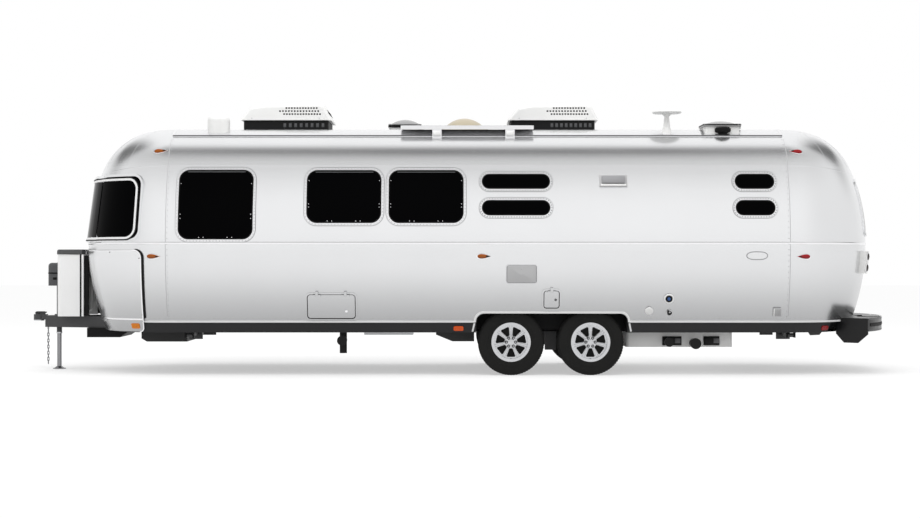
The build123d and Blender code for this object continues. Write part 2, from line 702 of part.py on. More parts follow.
def gas_bottles():
    """Two upright gas bottles with collars and valves."""
    bottles = []
    x = (gas_x[0] + gas_x[1]) / 2
    base = rail_top_z + seat_gap
    for y in (-bottle_y, bottle_y):
        body = cylinder((x, y, base + 30), (x, y, base + 440), bottle_radius)
        body = fillet(body.edges().filter_by(GeomType.CIRCLE), 70.0)
        foot = tube((x, y, base), (x, y, base + 60), 95.0, 88.0)
        collar = tube((x, y, base + 420), (x, y, base + 530), 85.0, 80.0)
        valve = cylinder((x, y, base + 420), (x, y, base + 500), 18.0)
        bottles.append(fuse([body, foot, collar, valve]))
    return bottles


def side_profile(points, ys):
    """A solid of an XZ outline between two y values."""
    plane = Plane(origin=(0, ys[1], 0), x_dir=(1, 0, 0), z_dir=(0, -1, 0))
    return extrude(plane * make_face(Polyline(*points, close=True).edges()), amount=ys[1] - ys[0])


tray_x = (-4082.0, -3720.0, -3632.0)    # front, where the floor turns up, rear
tray_bottom_z = 367.0
tray_lift = 60.0
tray_half = 330.0


def tray():
    """Steel box slung under the drawbar beams."""
    top = rail_top_z - rail_height - seat_gap
    front, knee, rear = tray_x
    low = tray_bottom_z
    outline = [(front, top), (front, low), (knee, low), (rear, low + tray_lift), (rear, top)]
    return side_profile(outline, (-tray_half, tray_half))


# ---- stone guards on the front corners ----
guard_turns = (14.0, 69.0)
guard_z = (458.0, 1325.0)
guard_thickness = 20.0


def stone_guards():
    """Polished sheets over the lower front corners."""
    guards = []
    for turns in (guard_turns, (180.0 - guard_turns[1], 180.0 - guard_turns[0])):
        guards.append(end_band("front", -guard_thickness, 0.0, *guard_z, *turns))
    return guards


# ---- running gear ----
def tyre(x, side):
    """A tyre in flats: beads that clear the rim's flanges, bulged sidewalls, cut shoulders and a flat tread."""
    half = tyre_width / 2
    bead = half - bead_draw
    right = [(bead, bead_radius), (bead, rim_flange_radius + flange_gap), (half, widest_radius),
             (half - shoulder_draw, shoulder_radius), (tread_half, wheel_radius)]
    outline = right + [(-offset, reach) for offset, reach in reversed(right)]
    step = 360.0 / tyre_sides
    rings = []
    for offset, reach in outline:
        corner = reach / cos(radians(step / 2))
        angles = [radians(90.0 + step * (i + 0.5)) for i in range(tyre_sides)]
        rings.append([Vector(corner * cos(a), offset, corner * sin(a)) for a in angles])
    flats = []
    for ring, following in zip(rings, rings[1:] + rings[:1]):
        for i in range(tyre_sides):
            j = (i + 1) % tyre_sides
            flats.append(Face(Polyline(ring[i], ring[j], following[j], following[i], close=True).wire()))
    return Pos(x, side * (tyre_face_y - half), wheel_radius) * Solid(Shell(flats))


def wheel_profile(outline, y0, side):
    """Face of a wheel's section, from its (offset along Y, radius) corners."""
    corners = [Vector(0, y0 + side * offset, radius) for offset, radius in outline]
    return Face(Wire(Polyline(*corners, close=True).edges()))


SPOKES = 7
spindle_radius = 19.0
drum_radius = 140.0
drum_y = (tyre_face_y - 232.0, tyre_face_y - 152.0)
hub_radius = 58.0
hub_face_y = tyre_face_y - 49.0
cap_radius = 34.0
cap_height = 16.0
disc_y = (tyre_face_y - 91.0, tyre_face_y - 63.0)
flange_width = 8.0
barrel_bore = bead_radius - 14.0
backing_plate = 6.0


def rim(x, side):
    """Wheel rim: barrel with flanges, a disc with seven spokes, the hub and its brake drum."""
    mid = tyre_face_y - tyre_width / 2
    seat = tyre_width / 2 - bead_draw + flange_gap
    edge = seat + flange_width
    right = [(seat, bead_radius - seat_gap), (seat, rim_flange_radius), (edge, rim_flange_radius),
             (edge, barrel_bore)]
    outline = right + [(-offset, reach) for offset, reach in reversed(right)]
    hoop = revolve(wheel_profile(outline, side * mid, side), axis=Axis((0, 0, 0), (0, 1, 0)), revolution_arc=360)
    disc = cylinder((0, side * disc_y[0], 0), (0, side * disc_y[1], 0), bead_radius - 13.0)
    window = Polyline((-15, 66), (-52, 158), (52, 158), (15, 66), close=True)
    plane = Plane(origin=(0, side * (disc_y[0] - 5), 0), x_dir=(1, 0, 0), z_dir=(0, side, 0))
    hole = extrude(plane * make_face(window.edges()), amount=disc_y[1] - disc_y[0] + 10)
    hole = fillet(hole.edges().filter_by(Axis.Y), 13.0)
    for i in range(SPOKES):
        disc -= Rot(0, 360.0 * (i + 0.5) / SPOKES, 0) * hole
    drum = cylinder((0, side * drum_y[0], 0), (0, side * drum_y[1], 0), drum_radius)
    hub = cylinder((0, side * drum_y[1], 0), (0, side * hub_face_y, 0), hub_radius)
    cap = cylinder((0, side * hub_face_y, 0), (0, side * (hub_face_y + cap_height), 0), cap_radius)
    bore = cylinder((0, side * (drum_y[0] - 1), 0), (0, side * (disc_y[1] - 4), 0), spindle_radius + pin_gap)
    return Pos(x, 0, wheel_radius) * (fuse([hoop, disc, drum, hub, cap]) - bore)


def axles():
    """Torsion axles: a square tube under the rails, trailing arms, backing plates and spindles."""
    beams = []
    for x in axle_xs:
        px = x - axle_lead
        half = axle_tube / 2
        pieces = [block((px - half, px + half), (-arm_y[0], arm_y[0]), (axle_tube_z - half, axle_tube_z + half))]
        for side in (ROAD, CURB):
            ys = sorted((side * arm_y[0], side * arm_y[1]))
            outline = Plane(origin=(0, ys[1], 0), x_dir=(1, 0, 0), z_dir=(0, -1, 0)) * make_hull(
                [Pos(px, axle_tube_z) * Circle(48).edge(), Pos(x, wheel_radius) * Circle(36).edge()])
            pieces.append(extrude(outline, amount=ys[1] - ys[0]))
            spindle = [(x, side * y, wheel_radius) for y in (arm_y[0], disc_y[1] - 8)]
            backing = [(x, side * y, wheel_radius) for y in (arm_y[1], arm_y[1] + backing_plate)]
            pieces.append(cylinder(*backing, drum_radius + 8))
            pieces.append(cylinder(*spindle, spindle_radius))
            plate = block((px - 120, px + 90), sorted((side * (rail_y - 34), side * (rail_y + 34))),
                          (axle_tube_z + half - 1, rail_top_z - rail_height - seat_gap))
            pieces.append(plate)
        beams.append(fuse(pieces))
    return beams


# ---- stabilisers: x, side ----
STABILISERS = {"front_left": (-2856.0, ROAD), "front_right": (-2856.0, CURB),
               "rear_left": (3540.0, ROAD), "rear_right": (3540.0, CURB)}
stabiliser_pivot_y = half_width - 359.0
stabiliser_pivot_z = 418.0
stabiliser_reach = 430.0
stabiliser_pin = 8.0


def stabiliser_leg(x, side):
    """A leg folded inwards under the floor, with its foot plate."""
    py, pz = side * stabiliser_pivot_y, stabiliser_pivot_z
    inner = side * (stabiliser_pivot_y - stabiliser_reach)
    leg = block((x - 28, x + 28), sorted((inner, py)), (pz - 20, pz + 16))
    eye = cylinder((x - 28, py, pz), (x + 28, py, pz), 22.0)
    foot_y = sorted((inner, inner + side * 14))
    foot = block((x - 75, x + 75), foot_y, (pz - 62, pz + 20))
    bore = cylinder((x - 100, py, pz), (x + 100, py, pz), stabiliser_pin + 0.1)
    return fuse([leg, eye, foot]) - bore


def stabiliser_mount(x, side):
    """Bracket and pin of a stabiliser."""
    py, pz = side * stabiliser_pivot_y, stabiliser_pivot_z
    top = belly_z - seat_gap
    ears = [block((x + a, x + b), sorted((py - side * 30, py + side * 30)), (pz - 26, top))
            for a, b in ((-50, -34), (34, 50))]
    plate = block((x - 50, x + 50), sorted((py - side * 30, py + side * 60)), (top - 6, top))
    return fuse(ears + [plate, cylinder((x - 50, py, pz), (x + 50, py, pz), stabiliser_pin)])


# ---- entry step: arms that swing from under the floor, and a tread that stays level ----
step_x = (-1110.0, -510.0)
step_pivot = (half_width - 269.0, 425.0)    # y, z
step_arm_length = 190.0
step_stowed = 12.0                # degrees above level, pointing inwards
step_pin = 6.0
step_bar = 8.0                    # thickness of an arm


def step_tread_pin():
    """Where the tread hangs on its arms, stowed."""
    a = radians(180.0 + step_stowed)
    return step_pivot[0] + step_arm_length * cos(a), step_pivot[1] + step_arm_length * sin(a)


def step_arms():
    """Two swinging arms joined by a cross tube."""
    y, z = step_tread_pin()
    arms = []
    for x in (step_x[0], step_x[1] - step_bar):
        outline = make_hull([Pos(*step_pivot) * Circle(17).edge(), Pos(y, z) * Circle(17).edge()])
        arms.append(extrude(Plane(origin=(x, 0, 0), x_dir=(0, 1, 0), z_dir=(1, 0, 0)) * outline, amount=step_bar))
    mid = ((step_pivot[0] + y) / 2, (step_pivot[1] + z) / 2)
    arms.append(cylinder((step_x[0] + 1, *mid), (step_x[1] - 1, *mid), 9.0))
    holes = [cylinder((step_x[0] - 50, *place), (step_x[1] + 50, *place), step_pin + pin_gap)
             for place in (step_pivot, (y, z))]
    return fuse(arms) - fuse(holes)


def step_tread():
    """The tread, its side cheeks and its pins."""
    y, z = step_tread_pin()
    xs = (step_x[0] + 14, step_x[1] - 14)
    tread = block(xs, (y - 30, y + 190), (z - 42, z - 22))
    pieces = [tread]
    for x0, x1 in ((xs[0], xs[0] + 6), (xs[1] - 6, xs[1])):
        pieces.append(block((x0, x1), (y - 30, y + 60), (z - 42, z + 16)))
    pieces.append(cylinder((step_x[0] - 4, y, z), (xs[0] + 3, y, z), step_pin))
    pieces.append(cylinder((xs[1] - 3, y, z), (step_x[1] + 4, y, z), step_pin))
    return fuse(pieces)


def step_mount():
    """Hangers of the step arms."""
    y, z = step_pivot
    hangers = []
    for x, inward in ((step_x[0], 1), (step_x[1], -1)):
        xs = sorted((x - inward * 16, x - inward * 6))
        hanger = block(xs, (y - 26, y + 26), (z - 20, belly_z - seat_gap))
        hangers.append(hanger + cylinder((x - inward * 10, y, z), (x + inward * (step_bar + 3), y, z), step_pin))
    return hangers


# ---- roof equipment ----
roof_root_z = roof_joint_z - 140.0    # fittings are drawn from here up, then trimmed to the roof
AIR_UNITS = [(-2385.0, -1396.0), (553.0, 1538.0)]
air_half_width = 360.0
air_base_top = 2752.0
air_top = 2934.0


def air_base(xs):
    """Dark intake band of an air conditioner."""
    base = block((xs[0] + 22, xs[1] - 30), (-air_half_width + 25, air_half_width - 25), (crown_z, air_base_top))
    return fillet(base.edges().filter_by(Axis.Z), 60.0)


def air_shroud(xs):
    """Moulded cover: a blunt wedge, higher at the back, run across and rounded."""
    z0 = air_base_top + seat_gap
    x0, x1 = xs
    points = [(x0, z0), (x0, z0 + 22), (x0 + 105, air_top - 40), (x0 + 260, air_top - 14), (x1 - 130, air_top),
              (x1 - 70, air_top - 22), (x1, z0 + 18), (x1, z0)]
    plane = Plane(origin=(0, air_half_width, 0), x_dir=(1, 0, 0), z_dir=(0, -1, 0))
    side = make_face(Polyline(*points, close=True).edges())
    body = extrude(plane * side, amount=2 * air_half_width)
    long_edges = body.edges().filter_by(lambda e: abs((e @ 1 - e @ 0).Y) < 1 and (e @ 0.5).Z > z0 + 30)
    return fillet(long_edges, 34.0)


# vents: x, y, half width, top of the frame, lid height
VENTS = {
    "vent_lid_front": (-590.0, 0.0, 183.0, 2684.0, 100.0),
    "vent_lid_rear": (2840.0, 699.0 - half_width, 205.0, 2652.0, 67.0),
}
vent_rim = 18.0                # how far the lid overhangs its frame


def on_roof(solid):
    """Trims a fitting to the roof it stands on."""
    crown = block((seam_front_x, seam_rear_x), (-corner_y - 1, corner_y + 1), (2000, crown_z))
    return solid - side_body(ROAD, seam_front_x, seam_rear_x, 2000.0) - crown


def vent_hinge(row):
    """A vent lid's hinge at its rear edge, as frame and lid halves."""
    x, y, half, top, height = row
    axis = (x + half + hinge_radius + 6, y, top + 8)
    frame, lid = hinge(axis, (-1, 0, 0), (0, 0, 1), 20, hinge_radius - 1, hinge_foot / 2, 22)
    ys = (y - hinge_width / 6, y + hinge_width / 6)
    return frame + block((x + half - vent_rim - 2, axis[0] + 6), ys, (top - 14, top - 3)), lid


def vent_curb(row):
    """The square frame that a vent lid closes on."""
    x, y, half, top, height = row
    reach = half - vent_rim
    outer = block((x - reach, x + reach), (y - reach, y + reach), (roof_root_z, top))
    return on_roof(fillet(outer.edges().filter_by(Axis.Z), 30.0) + vent_hinge(row)[0])


def vent_lid(row):
    """A vent's lid: a flat rim under a low dome."""
    x, y, half, top, height = row
    z0 = top + 0.5
    rim_plate = block((x - half, x + half), (y - half, y + half), (z0, z0 + 0.42 * height))
    rim_plate = fillet(rim_plate.edges().filter_by(Axis.Z), 40.0)
    rise = 0.58 * height
    chord = half - 12
    radius = (chord ** 2 + rise ** 2) / (2 * rise)
    over = block((x - half, x + half), (y - half, y + half), (z0, z0 + 2 * height))
    dome = (Pos(x, y, z0 + height - radius) * Sphere(radius)) & over
    return fuse([rim_plate, dome, vent_hinge(row)[1]])


skylight_x = (-192.0, 337.0)
skylight_y = (-60.0, 440.0)
skylight_rise = 172.0


def skylight():
    """A shallow dome on a flat flange."""
    flange = block(skylight_x, skylight_y, (crown_z, crown_z + 40.0))
    flange = on_roof(fillet(flange.edges().filter_by(Axis.Z), 70.0))
    chord = (skylight_x[1] - skylight_x[0]) / 2 - 20
    rise = skylight_rise - 40.0
    radius = (chord ** 2 + rise ** 2) / (2 * rise)
    middle = ((skylight_x[0] + skylight_x[1]) / 2, (skylight_y[0] + skylight_y[1]) / 2)
    dome = Pos(*middle, crown_z + skylight_rise - radius) * Sphere(radius)
    return flange + (dome & block(skylight_x, skylight_y, (crown_z + 20, crown_z + 300)))


solar_x = (-611.0, 809.0)
solar_y = (409.0 - half_width, 915.0 - half_width)
solar_thickness = 40.0
solar_z = (2612.0, 2650.0)     # underside at the outer and the inner edge
SOLAR_FEET = [-224.0, 556.0]


def solar_panel():
    """A framed panel that follows the shoulder of the roof, on four feet."""
    width, rise = solar_y[1] - solar_y[0], solar_z[1] - solar_z[0]
    tilt = degrees(atan2(rise, width))
    slab = Pos(0, 0, solar_thickness / 2) * Box(solar_x[1] - solar_x[0], hypot(width, rise), solar_thickness)
    middle = ((solar_x[0] + solar_x[1]) / 2, (solar_y[0] + solar_y[1]) / 2, (solar_z[0] + solar_z[1]) / 2)
    panel = Pos(*middle) * Rot(tilt, 0, 0) * slab
    feet = [on_roof(block((x - 50, x + 50), (y - 14, y + 14), (roof_root_z, z)))
            for x in SOLAR_FEET for y, z in ((solar_y[0] + 16, solar_z[0] + 10), (solar_y[1] - 20, solar_z[1] + 8))]
    return fuse([panel] + feet)


dome_x = (-2702.0, -2469.0)
dome_y = (529.0 - half_width, 749.0 - half_width)
dome_top = 2783.0
AERIAL = (2246.0, 549.0 - half_width)
aerial_foot_z = 2520.0         # inside the roof
aerial_base_z = 2640.0
aerial_neck = 170.0
aerial_top_z = aerial_base_z + 181.0
aerial_head = (158.0, 28.0)    # radius, thickness
aerial_pin = 12.0


def roof_fittings():
    """Vent frames, the white aerial housing and the television aerial's base."""
    housing = block(dome_x, dome_y, (roof_root_z, dome_top))
    housing = fillet(housing.edges().filter_by(Axis.Z), 80.0)
    housing = fillet(housing.faces().sort_by(Axis.Z)[-1].edges(), 60.0)
    rise = aerial_base_z - aerial_foot_z
    base = Pos(*AERIAL, aerial_foot_z + rise / 2) * Cone(70.0, 40.0, rise)
    stub = cylinder((*AERIAL, aerial_base_z - 1), (*AERIAL, aerial_base_z + 12), aerial_pin)
    return [vent_curb(row) for row in VENTS.values()] + [on_roof(housing), on_roof(base) + stub]


def tv_aerial():
    """Television aerial: a tapered neck with a round, flat head, turning on its base."""
    z0 = aerial_base_z + seat_gap
    neck = Pos(*AERIAL, z0) * Cone(38.0, 20.0, aerial_neck, align=(Align.CENTER, Align.CENTER, Align.MIN))
    head = Pos(*AERIAL, aerial_top_z - aerial_head[1] / 2) * Cylinder(*aerial_head)
    head = chamfer(head.edges(), 10.0)
    brace = Pos(*AERIAL, aerial_top_z - 46) * Cone(20.0, 60.0, 40.0)
    socket = cylinder((*AERIAL, aerial_base_z - 5), (*AERIAL, aerial_base_z + 13), aerial_pin + pin_gap)
    return fuse([neck, brace, head]) - socket


# ---- underside ----
tank_half = half_width - 469.0
def tanks():
    """Waste tank behind the wheels, fresh water tank ahead of them, and the closed pan behind the drawbar."""
    top = belly_z - seat_gap
    waste = fillet(block((1800.0, 2940.0), (-tank_half, tank_half), (285.0, top)).edges().filter_by(Axis.Z), 40.0)
    fresh = side_profile([(-237, top), (-237, 412), (-60, 340), (175, 340), (175, top)], (-700, 700))
    pan = side_profile([(-3460, top), (-3460, 360), (-3400, 325), (-2960, 325), (-2960, top)], (-450, 450))
    return [waste, fresh, pan]


outlet_face_y = half_width - 269.0
outlet_cap = 35.0
outlet_elbow_y = half_width - 489.0    # the waste pipe that comes down ahead of the wheels
# outlets on the road side: x, z, cap radius
OUTLETS = [(-1229.0, 363.0, 53.0), (2240.0, 345.0, 48.0), (2522.0, 330.0, 58.0)]


def drain_pipes():
    """Waste outlets with their caps, just inside the skirt."""
    outlets = []
    for x, z, radius in OUTLETS:
        root = tank_half + seat_gap if x > 0 else outlet_elbow_y - 20.0
        neck_y = outlet_face_y - outlet_cap
        outlet = cylinder((x, -root, z), (x, -neck_y, z), radius - 12)
        outlet += cylinder((x, -neck_y, z), (x, -outlet_face_y, z), radius)
        if x < 0:
            outlet += cylinder((x, -outlet_elbow_y, 220.0), (x, -outlet_elbow_y, belly_z - seat_gap), radius - 14)
        outlets.append(outlet)
    return outlets


# ---- rear bumper, concentric with the rear of the shell ----
bumper_reach = 172.0           # beyond the belt line
bumper_turns = (50.0, 130.0)
bumper_z = (460.0, 600.0)
bumper_sheet = 12.0
bumper_inner = 200.0           # inset of its front wall from the belt line
bumper_hinge_x = 4400.0
bumper_lid_thickness = 6.0
bumper_lid_y = 640.0
bumper_hinge_y = 350.0


def bumper_part(out, back, z0, z1, turns):
    """A stretch of bumper between a reach beyond the belt line and an inset from it."""
    def section(place, reach):
        corners = [place(back, z0), place(-out, z0), place(-out, z1), place(back, z1)]
        return Face(Wire(Polyline(*corners, close=True).edges()))

    return end_sweep("rear", *turns, section)


def bumper_hinges():
    """The bumper lid's hinges, as frame and lid halves."""
    top = bumper_z[1]
    return [hinge((bumper_hinge_x, y, top + hinge_radius), (1, 0, 0), (0, 0, 1), 30, hinge_radius - 3, hinge_foot / 2,
                  hinge_radius + 3) for y in (-bumper_hinge_y, bumper_hinge_y)]


def bumper():
    """Bumper box with a bay under its lid, its dark end plates and the lid's hinges."""
    low, top = bumper_z
    turns = (bumper_turns[0] + 1.0, bumper_turns[1] - 1.0)
    inner_reach = bumper_reach - bumper_sheet
    box = bumper_part(bumper_reach, bumper_inner, low, top, bumper_turns)
    box -= bumper_part(inner_reach, bumper_inner - bumper_sheet, low + bumper_sheet, top - bumper_sheet, turns)
    mouth = block((bumper_hinge_x + 12, 6000), (20 - bumper_lid_y, bumper_lid_y - 20), (low + 20, top + 20))
    box -= bumper_part(inner_reach - 8, 0.0, low + bumper_sheet, top + 20, turns) & mouth
    pieces = [box]
    radial = corner_radius + bumper_reach
    outline = [(corner_radius - bumper_inner, 559), (corner_radius - bumper_inner, 430), (853, 335), (1016, 335),
               (radial, 430), (radial, 559)]
    for turn, side in ((bumper_turns[0], ROAD), (bumper_turns[1], CURB)):
        angle = radians(270.0 + turn)
        plane = Plane(origin=(seam_rear_x, side * corner_y, 0), x_dir=(cos(angle), sin(angle), 0),
                      z_dir=(side * sin(angle), -side * cos(angle), 0))
        corners = [(u, z * plane.y_dir.Z) for u, z in outline]
        pieces.append(extrude(plane * make_face(Polyline(*corners, close=True).edges()), amount=bumper_sheet))
    whole = fuse(pieces + [frame for frame, lid in bumper_hinges()])
    return whole - end_body("rear", shell_bottom_z - seat_gap, top + 60, 20.0, 160.0, -seat_gap)


def bumper_lid():
    """The lid over the bumper's bay."""
    z0 = bumper_z[1] + seat_gap
    lid = bumper_part(bumper_reach - 1, 120.0, z0, z0 + bumper_lid_thickness, bumper_turns)
    lid = lid & block((bumper_hinge_x + hinge_radius + 6, 6000), (-bumper_lid_y, bumper_lid_y), (z0 - 1, z0 + 50))
    return fuse([lid] + [half for frame, half in bumper_hinges()])


def tail_lamps():
    """Lamp housings on the rear corners."""
    lamps = []
    for turn in (62.0, 112.0):
        body = end_band("rear", -58.0, 0.0, 1072.0, 1312.0, turn, turn + 6.0)
        lamps.append(body)
    return lamps


# ---- side fittings ----
lamp_half = (70.0, 30.0)
lamp_proud = 26.0
# lamps on the ends: end, plan turn, z
AMBER = [("front", turn, z) for turn in (8.0, 172.0) for z in (2370.0, 1255.0)]
RED = [("rear", turn, z) for turn in (8.8, 171.2) for z in (2365.0, 1253.0)]
# lamps on the straight sides: x, z, skin depth
AMBER_SIDE = [(273.0, 1256.0, 0.0), (6.0, 498.0, skirt_set_back)]
RED_SKIRT = (33.0, 498.0)      # plan turn, z


def lamps(ends, sides):
    """Marker lamps bedded on the shell and the skirt."""
    half_turn = degrees(lamp_half[0] / corner_radius)
    found = [end_band(end, -lamp_proud, 0.0, z - lamp_half[1], z + lamp_half[1], turn - half_turn, turn + half_turn)
             for end, turn, z in ends]
    for side in (ROAD, CURB):
        for x, z, depth in sides:
            xs, zs = (x - lamp_half[0], x + lamp_half[0]), (z - lamp_half[1] + 4, z + lamp_half[1] - 4)
            found.append(side_patch(side, xs, zs, 24, depth - lamp_proud / 2, depth))
    return found


def skirt_lamps():
    """Red reflectors on the skirt's rear corners."""
    turn, z = RED_SKIRT
    return [end_band("rear", skirt_set_back - 9.0, skirt_set_back, z - 24, z + 24, t - 4.5, t + 4.5)
            for t in (turn, 180 - turn)]


# flat fittings on the road side: x from, x to, z from, z to, corner radius, proud
FITTINGS = [
    (504.0, 829.0, 972.0, 1169.0, 22.0, 12.0),
    (1482.0, 1778.0, 1975.0, 2115.0, 8.0, 14.0),
    (3308.0, 3395.0, 622.0, 716.0, 12.0, 16.0),
    (3012.0, 3237.0, 1220.0, 1305.0, 42.0, 4.0),
    (1966.0, 2050.0, 640.0, 724.0, 42.0, 10.0),
    (2158.0, 2264.0, 758.0, 864.0, 53.0, 12.0),
    (2186.0, 2248.0, 636.0, 698.0, 31.0, 8.0),
]


def door_hinges():
    """The entry door's hinges, as frame and lid halves."""
    x = door_x[0] - swing_gap / 2
    y = half_width + hatch_axis_proud
    made = []
    for z in DOOR_HINGE_Z:
        drop = y - half_width + inset_at(z - hinge_width / 2 if z < belt_z else z + hinge_width / 2)
        frame_reach = swing_gap / 2 + trim_width + hinge_foot + 2
        lid_reach = swing_gap / 2 + hinge_foot + 2
        frame, lid = hinge((x, y, z), (1, 0, 0), (0, 1, 0), lid_reach, drop + 6, frame_reach, drop + 25)
        skin = side_body(CURB, x - 200, x, z - 100, z + 100)
        made.append((frame - skin, lid))
    return made


def wall_fittings():
    """Heater door, range vent, inlets, blank plate, hatch surrounds, the door's surround and hinge halves."""
    pieces = [side_patch(ROAD, (x0, x1), (z0, z1), corner, -proud, 0.0) for x0, x1, z0, z1, corner, proud in FITTINGS]
    for row in HATCHES.values():
        pieces += hatch_trim(row)
    trim = side_patch(CURB, door_x, door_z, door_corner, -trim_proud, 0.0, swing_gap + trim_width)
    pieces.append(trim - side_cut(CURB, door_x, door_z, door_corner, swing_gap))
    return pieces + [frame for frame, lid in door_hinges()]


def door():
    """The entry door, rebated at its free edge, with its window cut and its hinge halves."""
    layer, short = door_rebate
    panel = side_patch(CURB, door_x, door_z, door_corner, 0.0, wall)
    rebate = side_patch(CURB, door_x, door_z, door_corner, layer, wall + 20, 5.0)
    inner_x, inner_z = (door_x[0] - 10, door_x[1] - short), (door_z[0] - 10, door_z[1] + 10)
    panel -= rebate - side_cut(CURB, inner_x, inner_z, door_corner)
    panel -= side_cut(CURB, door_glass_x, door_glass_z, 90.0)
    return fuse([panel] + [lid for frame, lid in door_hinges()])


def door_glass():
    """The door's pane and its frame in one piece."""
    return side_patch(CURB, door_glass_x, door_glass_z, 90.0, -4.0, 6.0, -seat_gap)


# ---- awning, rolled up on the curb side ----
awning_x = (-2050.0, 2000.0)
awning_seat_z = 2430.0         # where its brackets meet the shell
awning_radius = 46.0
awning_stand_off = 12.0
awning_foot_z = 900.0
awning_arm_y = (half_width + 6.0, half_width + 30.0)


def awning():
    """Rolled awning under the drip rail with its two folded arms."""
    brow = SECTION[2]
    lean = asin((awning_seat_z - brow[1]) / brow[2])
    off = awning_radius + awning_stand_off
    y = half_width - inset_at(awning_seat_z) + off * cos(lean)
    z = awning_seat_z + off * sin(lean)
    pieces = [cylinder((awning_x[0], y, z), (awning_x[1], y, z), awning_radius)]
    inner, outer = awning_arm_y
    foot = awning_foot_z
    for x in awning_x:
        top = y + awning_radius - 8
        points = [(top - 24, z + 30), (top, z + 30), (outer, 1800), (outer, foot), (inner, foot), (inner, 1800)]
        plane = Plane(origin=(x - 16, 0, 0), x_dir=(0, 1, 0), z_dir=(1, 0, 0))
        pieces.append(extrude(plane * make_face(Polyline(*points, close=True).edges()), amount=32))
        bracket = block((x - 26, x + 26), (half_width - inset_at(foot - 60) - 60, outer), (foot - 60, foot + 20))
        head = block((x - 26, x + 26), (y - off - 20, y), (z - 30, z + 30))
        body = side_body(CURB, x - 50, x + 50, foot - 100)
        pieces += [bracket - body, head - body]
    return fuse(pieces)


# ---- safety chains ----
LINKS = 11
link_pitch = 34.0
link_bite = 0.5     # how far a link sinks into the one that it bears on
link_corner = 7.0
link_wire = 8.0
link_width = 26.0
CHAINS = [(-4571.0, -1), (-4482.0, 1)]    # x, side
chain_outboard = 12.0    # from the middle of the beam, clear of the jack's foot as it rises


def chain(x, side):
    """A hanging chain on its lug: flat-sided links, each turned a quarter from the last, joined where they bear."""
    slope = (rail_y - a_frame_front_y) / (a_frame_spread_x - a_frame_front_x)
    y = side * (a_frame_front_y + slope * (x - a_frame_front_x) + chain_outboard)
    top = rail_top_z - rail_height - seat_gap
    links = [block((x - 9, x + 9), (y - 4, y + 4), (top - 26, top))]
    hole = link_pitch - link_bite
    outer = chamfer(Rectangle(hole + 2 * link_wire, link_width).vertices(), link_corner)
    outline = outer - Rectangle(hole, link_width - 2 * link_wire)
    link = Rot(0, 90, 0) * extrude(outline, amount=link_wire / 2, both=True)
    first = top - 26.0 + link_bite - hole / 2 - link_wire
    for i in range(LINKS):
        links.append(Pos(x, y, first - i * link_pitch) * Rot(0, 0, 90 * (i % 2)) * link)
    return fuse(links)


def parts():
    """Every node by name."""
    made = {
        "chassis": chassis(),
        "coupler": coupler(),
        "jack_post": jack_post(),
        "jack_foot": jack_foot(),
        "floor": floor_deck(),
        "belly_pan": belly_pan(),
        "wall_left": shell_wall(ROAD),
        "wall_right": shell_wall(CURB),
        "roof": shell_roof(),
        "cap_front": shell_cap("front"),
        "cap_rear": shell_cap("rear"),
        "skirt": skirt(),
        "wheel_wells": wheel_wells(),
        "stone_guards": stone_guards(),
        "gas_box": gas_box(),
        "gas_lid": gas_lid(),
        "gas_bottles": gas_bottles(),
        "tray": tray(),
        "air_bases": [air_base(xs) for xs in AIR_UNITS],
        "air_shrouds": [air_shroud(xs) for xs in AIR_UNITS],
        "roof_fittings": roof_fittings(),
        "skylight": skylight(),
        "solar_panel": solar_panel(),
        "tv_aerial": tv_aerial(),
        "axles": axles(),
        "tanks": tanks(),
        "drain_pipes": drain_pipes(),
        "bumper": bumper(),
        "bumper_lid": bumper_lid(),
        "tail_lamps": tail_lamps(),
        "lamps_amber": lamps(AMBER, AMBER_SIDE),
        "lamps_red": lamps(RED, []) + skirt_lamps(),
        "wall_fittings": wall_fittings(),
        "door": door(),
        "door_glass": door_glass(),
        "awning": awning(),
        "safety_chains": [chain(x, side) for x, side in CHAINS],
        "step_arms": step_arms(),
        "step_tread": step_tread(),
        "under_mounts": [stabiliser_mount(x, side) for x, side in STABILISERS.values()] + step_mount(),
    }
    frames = [window_ring(side, (x0, x1), (z0, z1), corner) for side, x0, x1, z0, z1, corner in SIDE_WINDOWS]
    panes = [window_pane(side, (x0, x1), (z0, z1), corner) for side, x0, x1, z0, z1, corner in SIDE_WINDOWS]
    frames += [front_frame(turns) for turns in FRONT_WINDOWS]
    panes += [front_pane(turns) for turns in FRONT_WINDOWS]
    frames.append(rear_frame())
    panes.append(rear_pane())
    made["window_frames"], made["window_glass"] = frames, panes
    for name, row in VENTS.items():
        made[name] = vent_lid(row)
    for name, row in HATCHES.items():
        made[name] = hatch_lid(row)
    for name, (x, side) in STABILISERS.items():
        made["stabiliser_" + name] = stabiliser_leg(x, side)
    for place, x in zip(("front", "rear"), axle_xs):
        for hand, side in (("left", ROAD), ("right", CURB)):
            made[f"tyre_{place}_{hand}"] = tyre(x, side)
            made[f"rim_{place}_{hand}"] = rim(x, side)
    return made


def main():
    os.makedirs("parts", exist_ok=True)
    for name, shape in parts().items():
        solids = shape if isinstance(shape, list) else [shape]
        found = [s for item in solids for s in item.solids()]
        export_step(Compound(children=found) if len(found) > 1 else found[0], f"parts/{name}.step")


main()
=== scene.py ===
"""Finishes and fine detail for the travel caravan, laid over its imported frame."""

import json
import math

import bpy
from bpy.props import FloatProperty, FloatVectorProperty, IntProperty, PointerProperty
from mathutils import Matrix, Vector
from mathutils.bvhtree import BVHTree


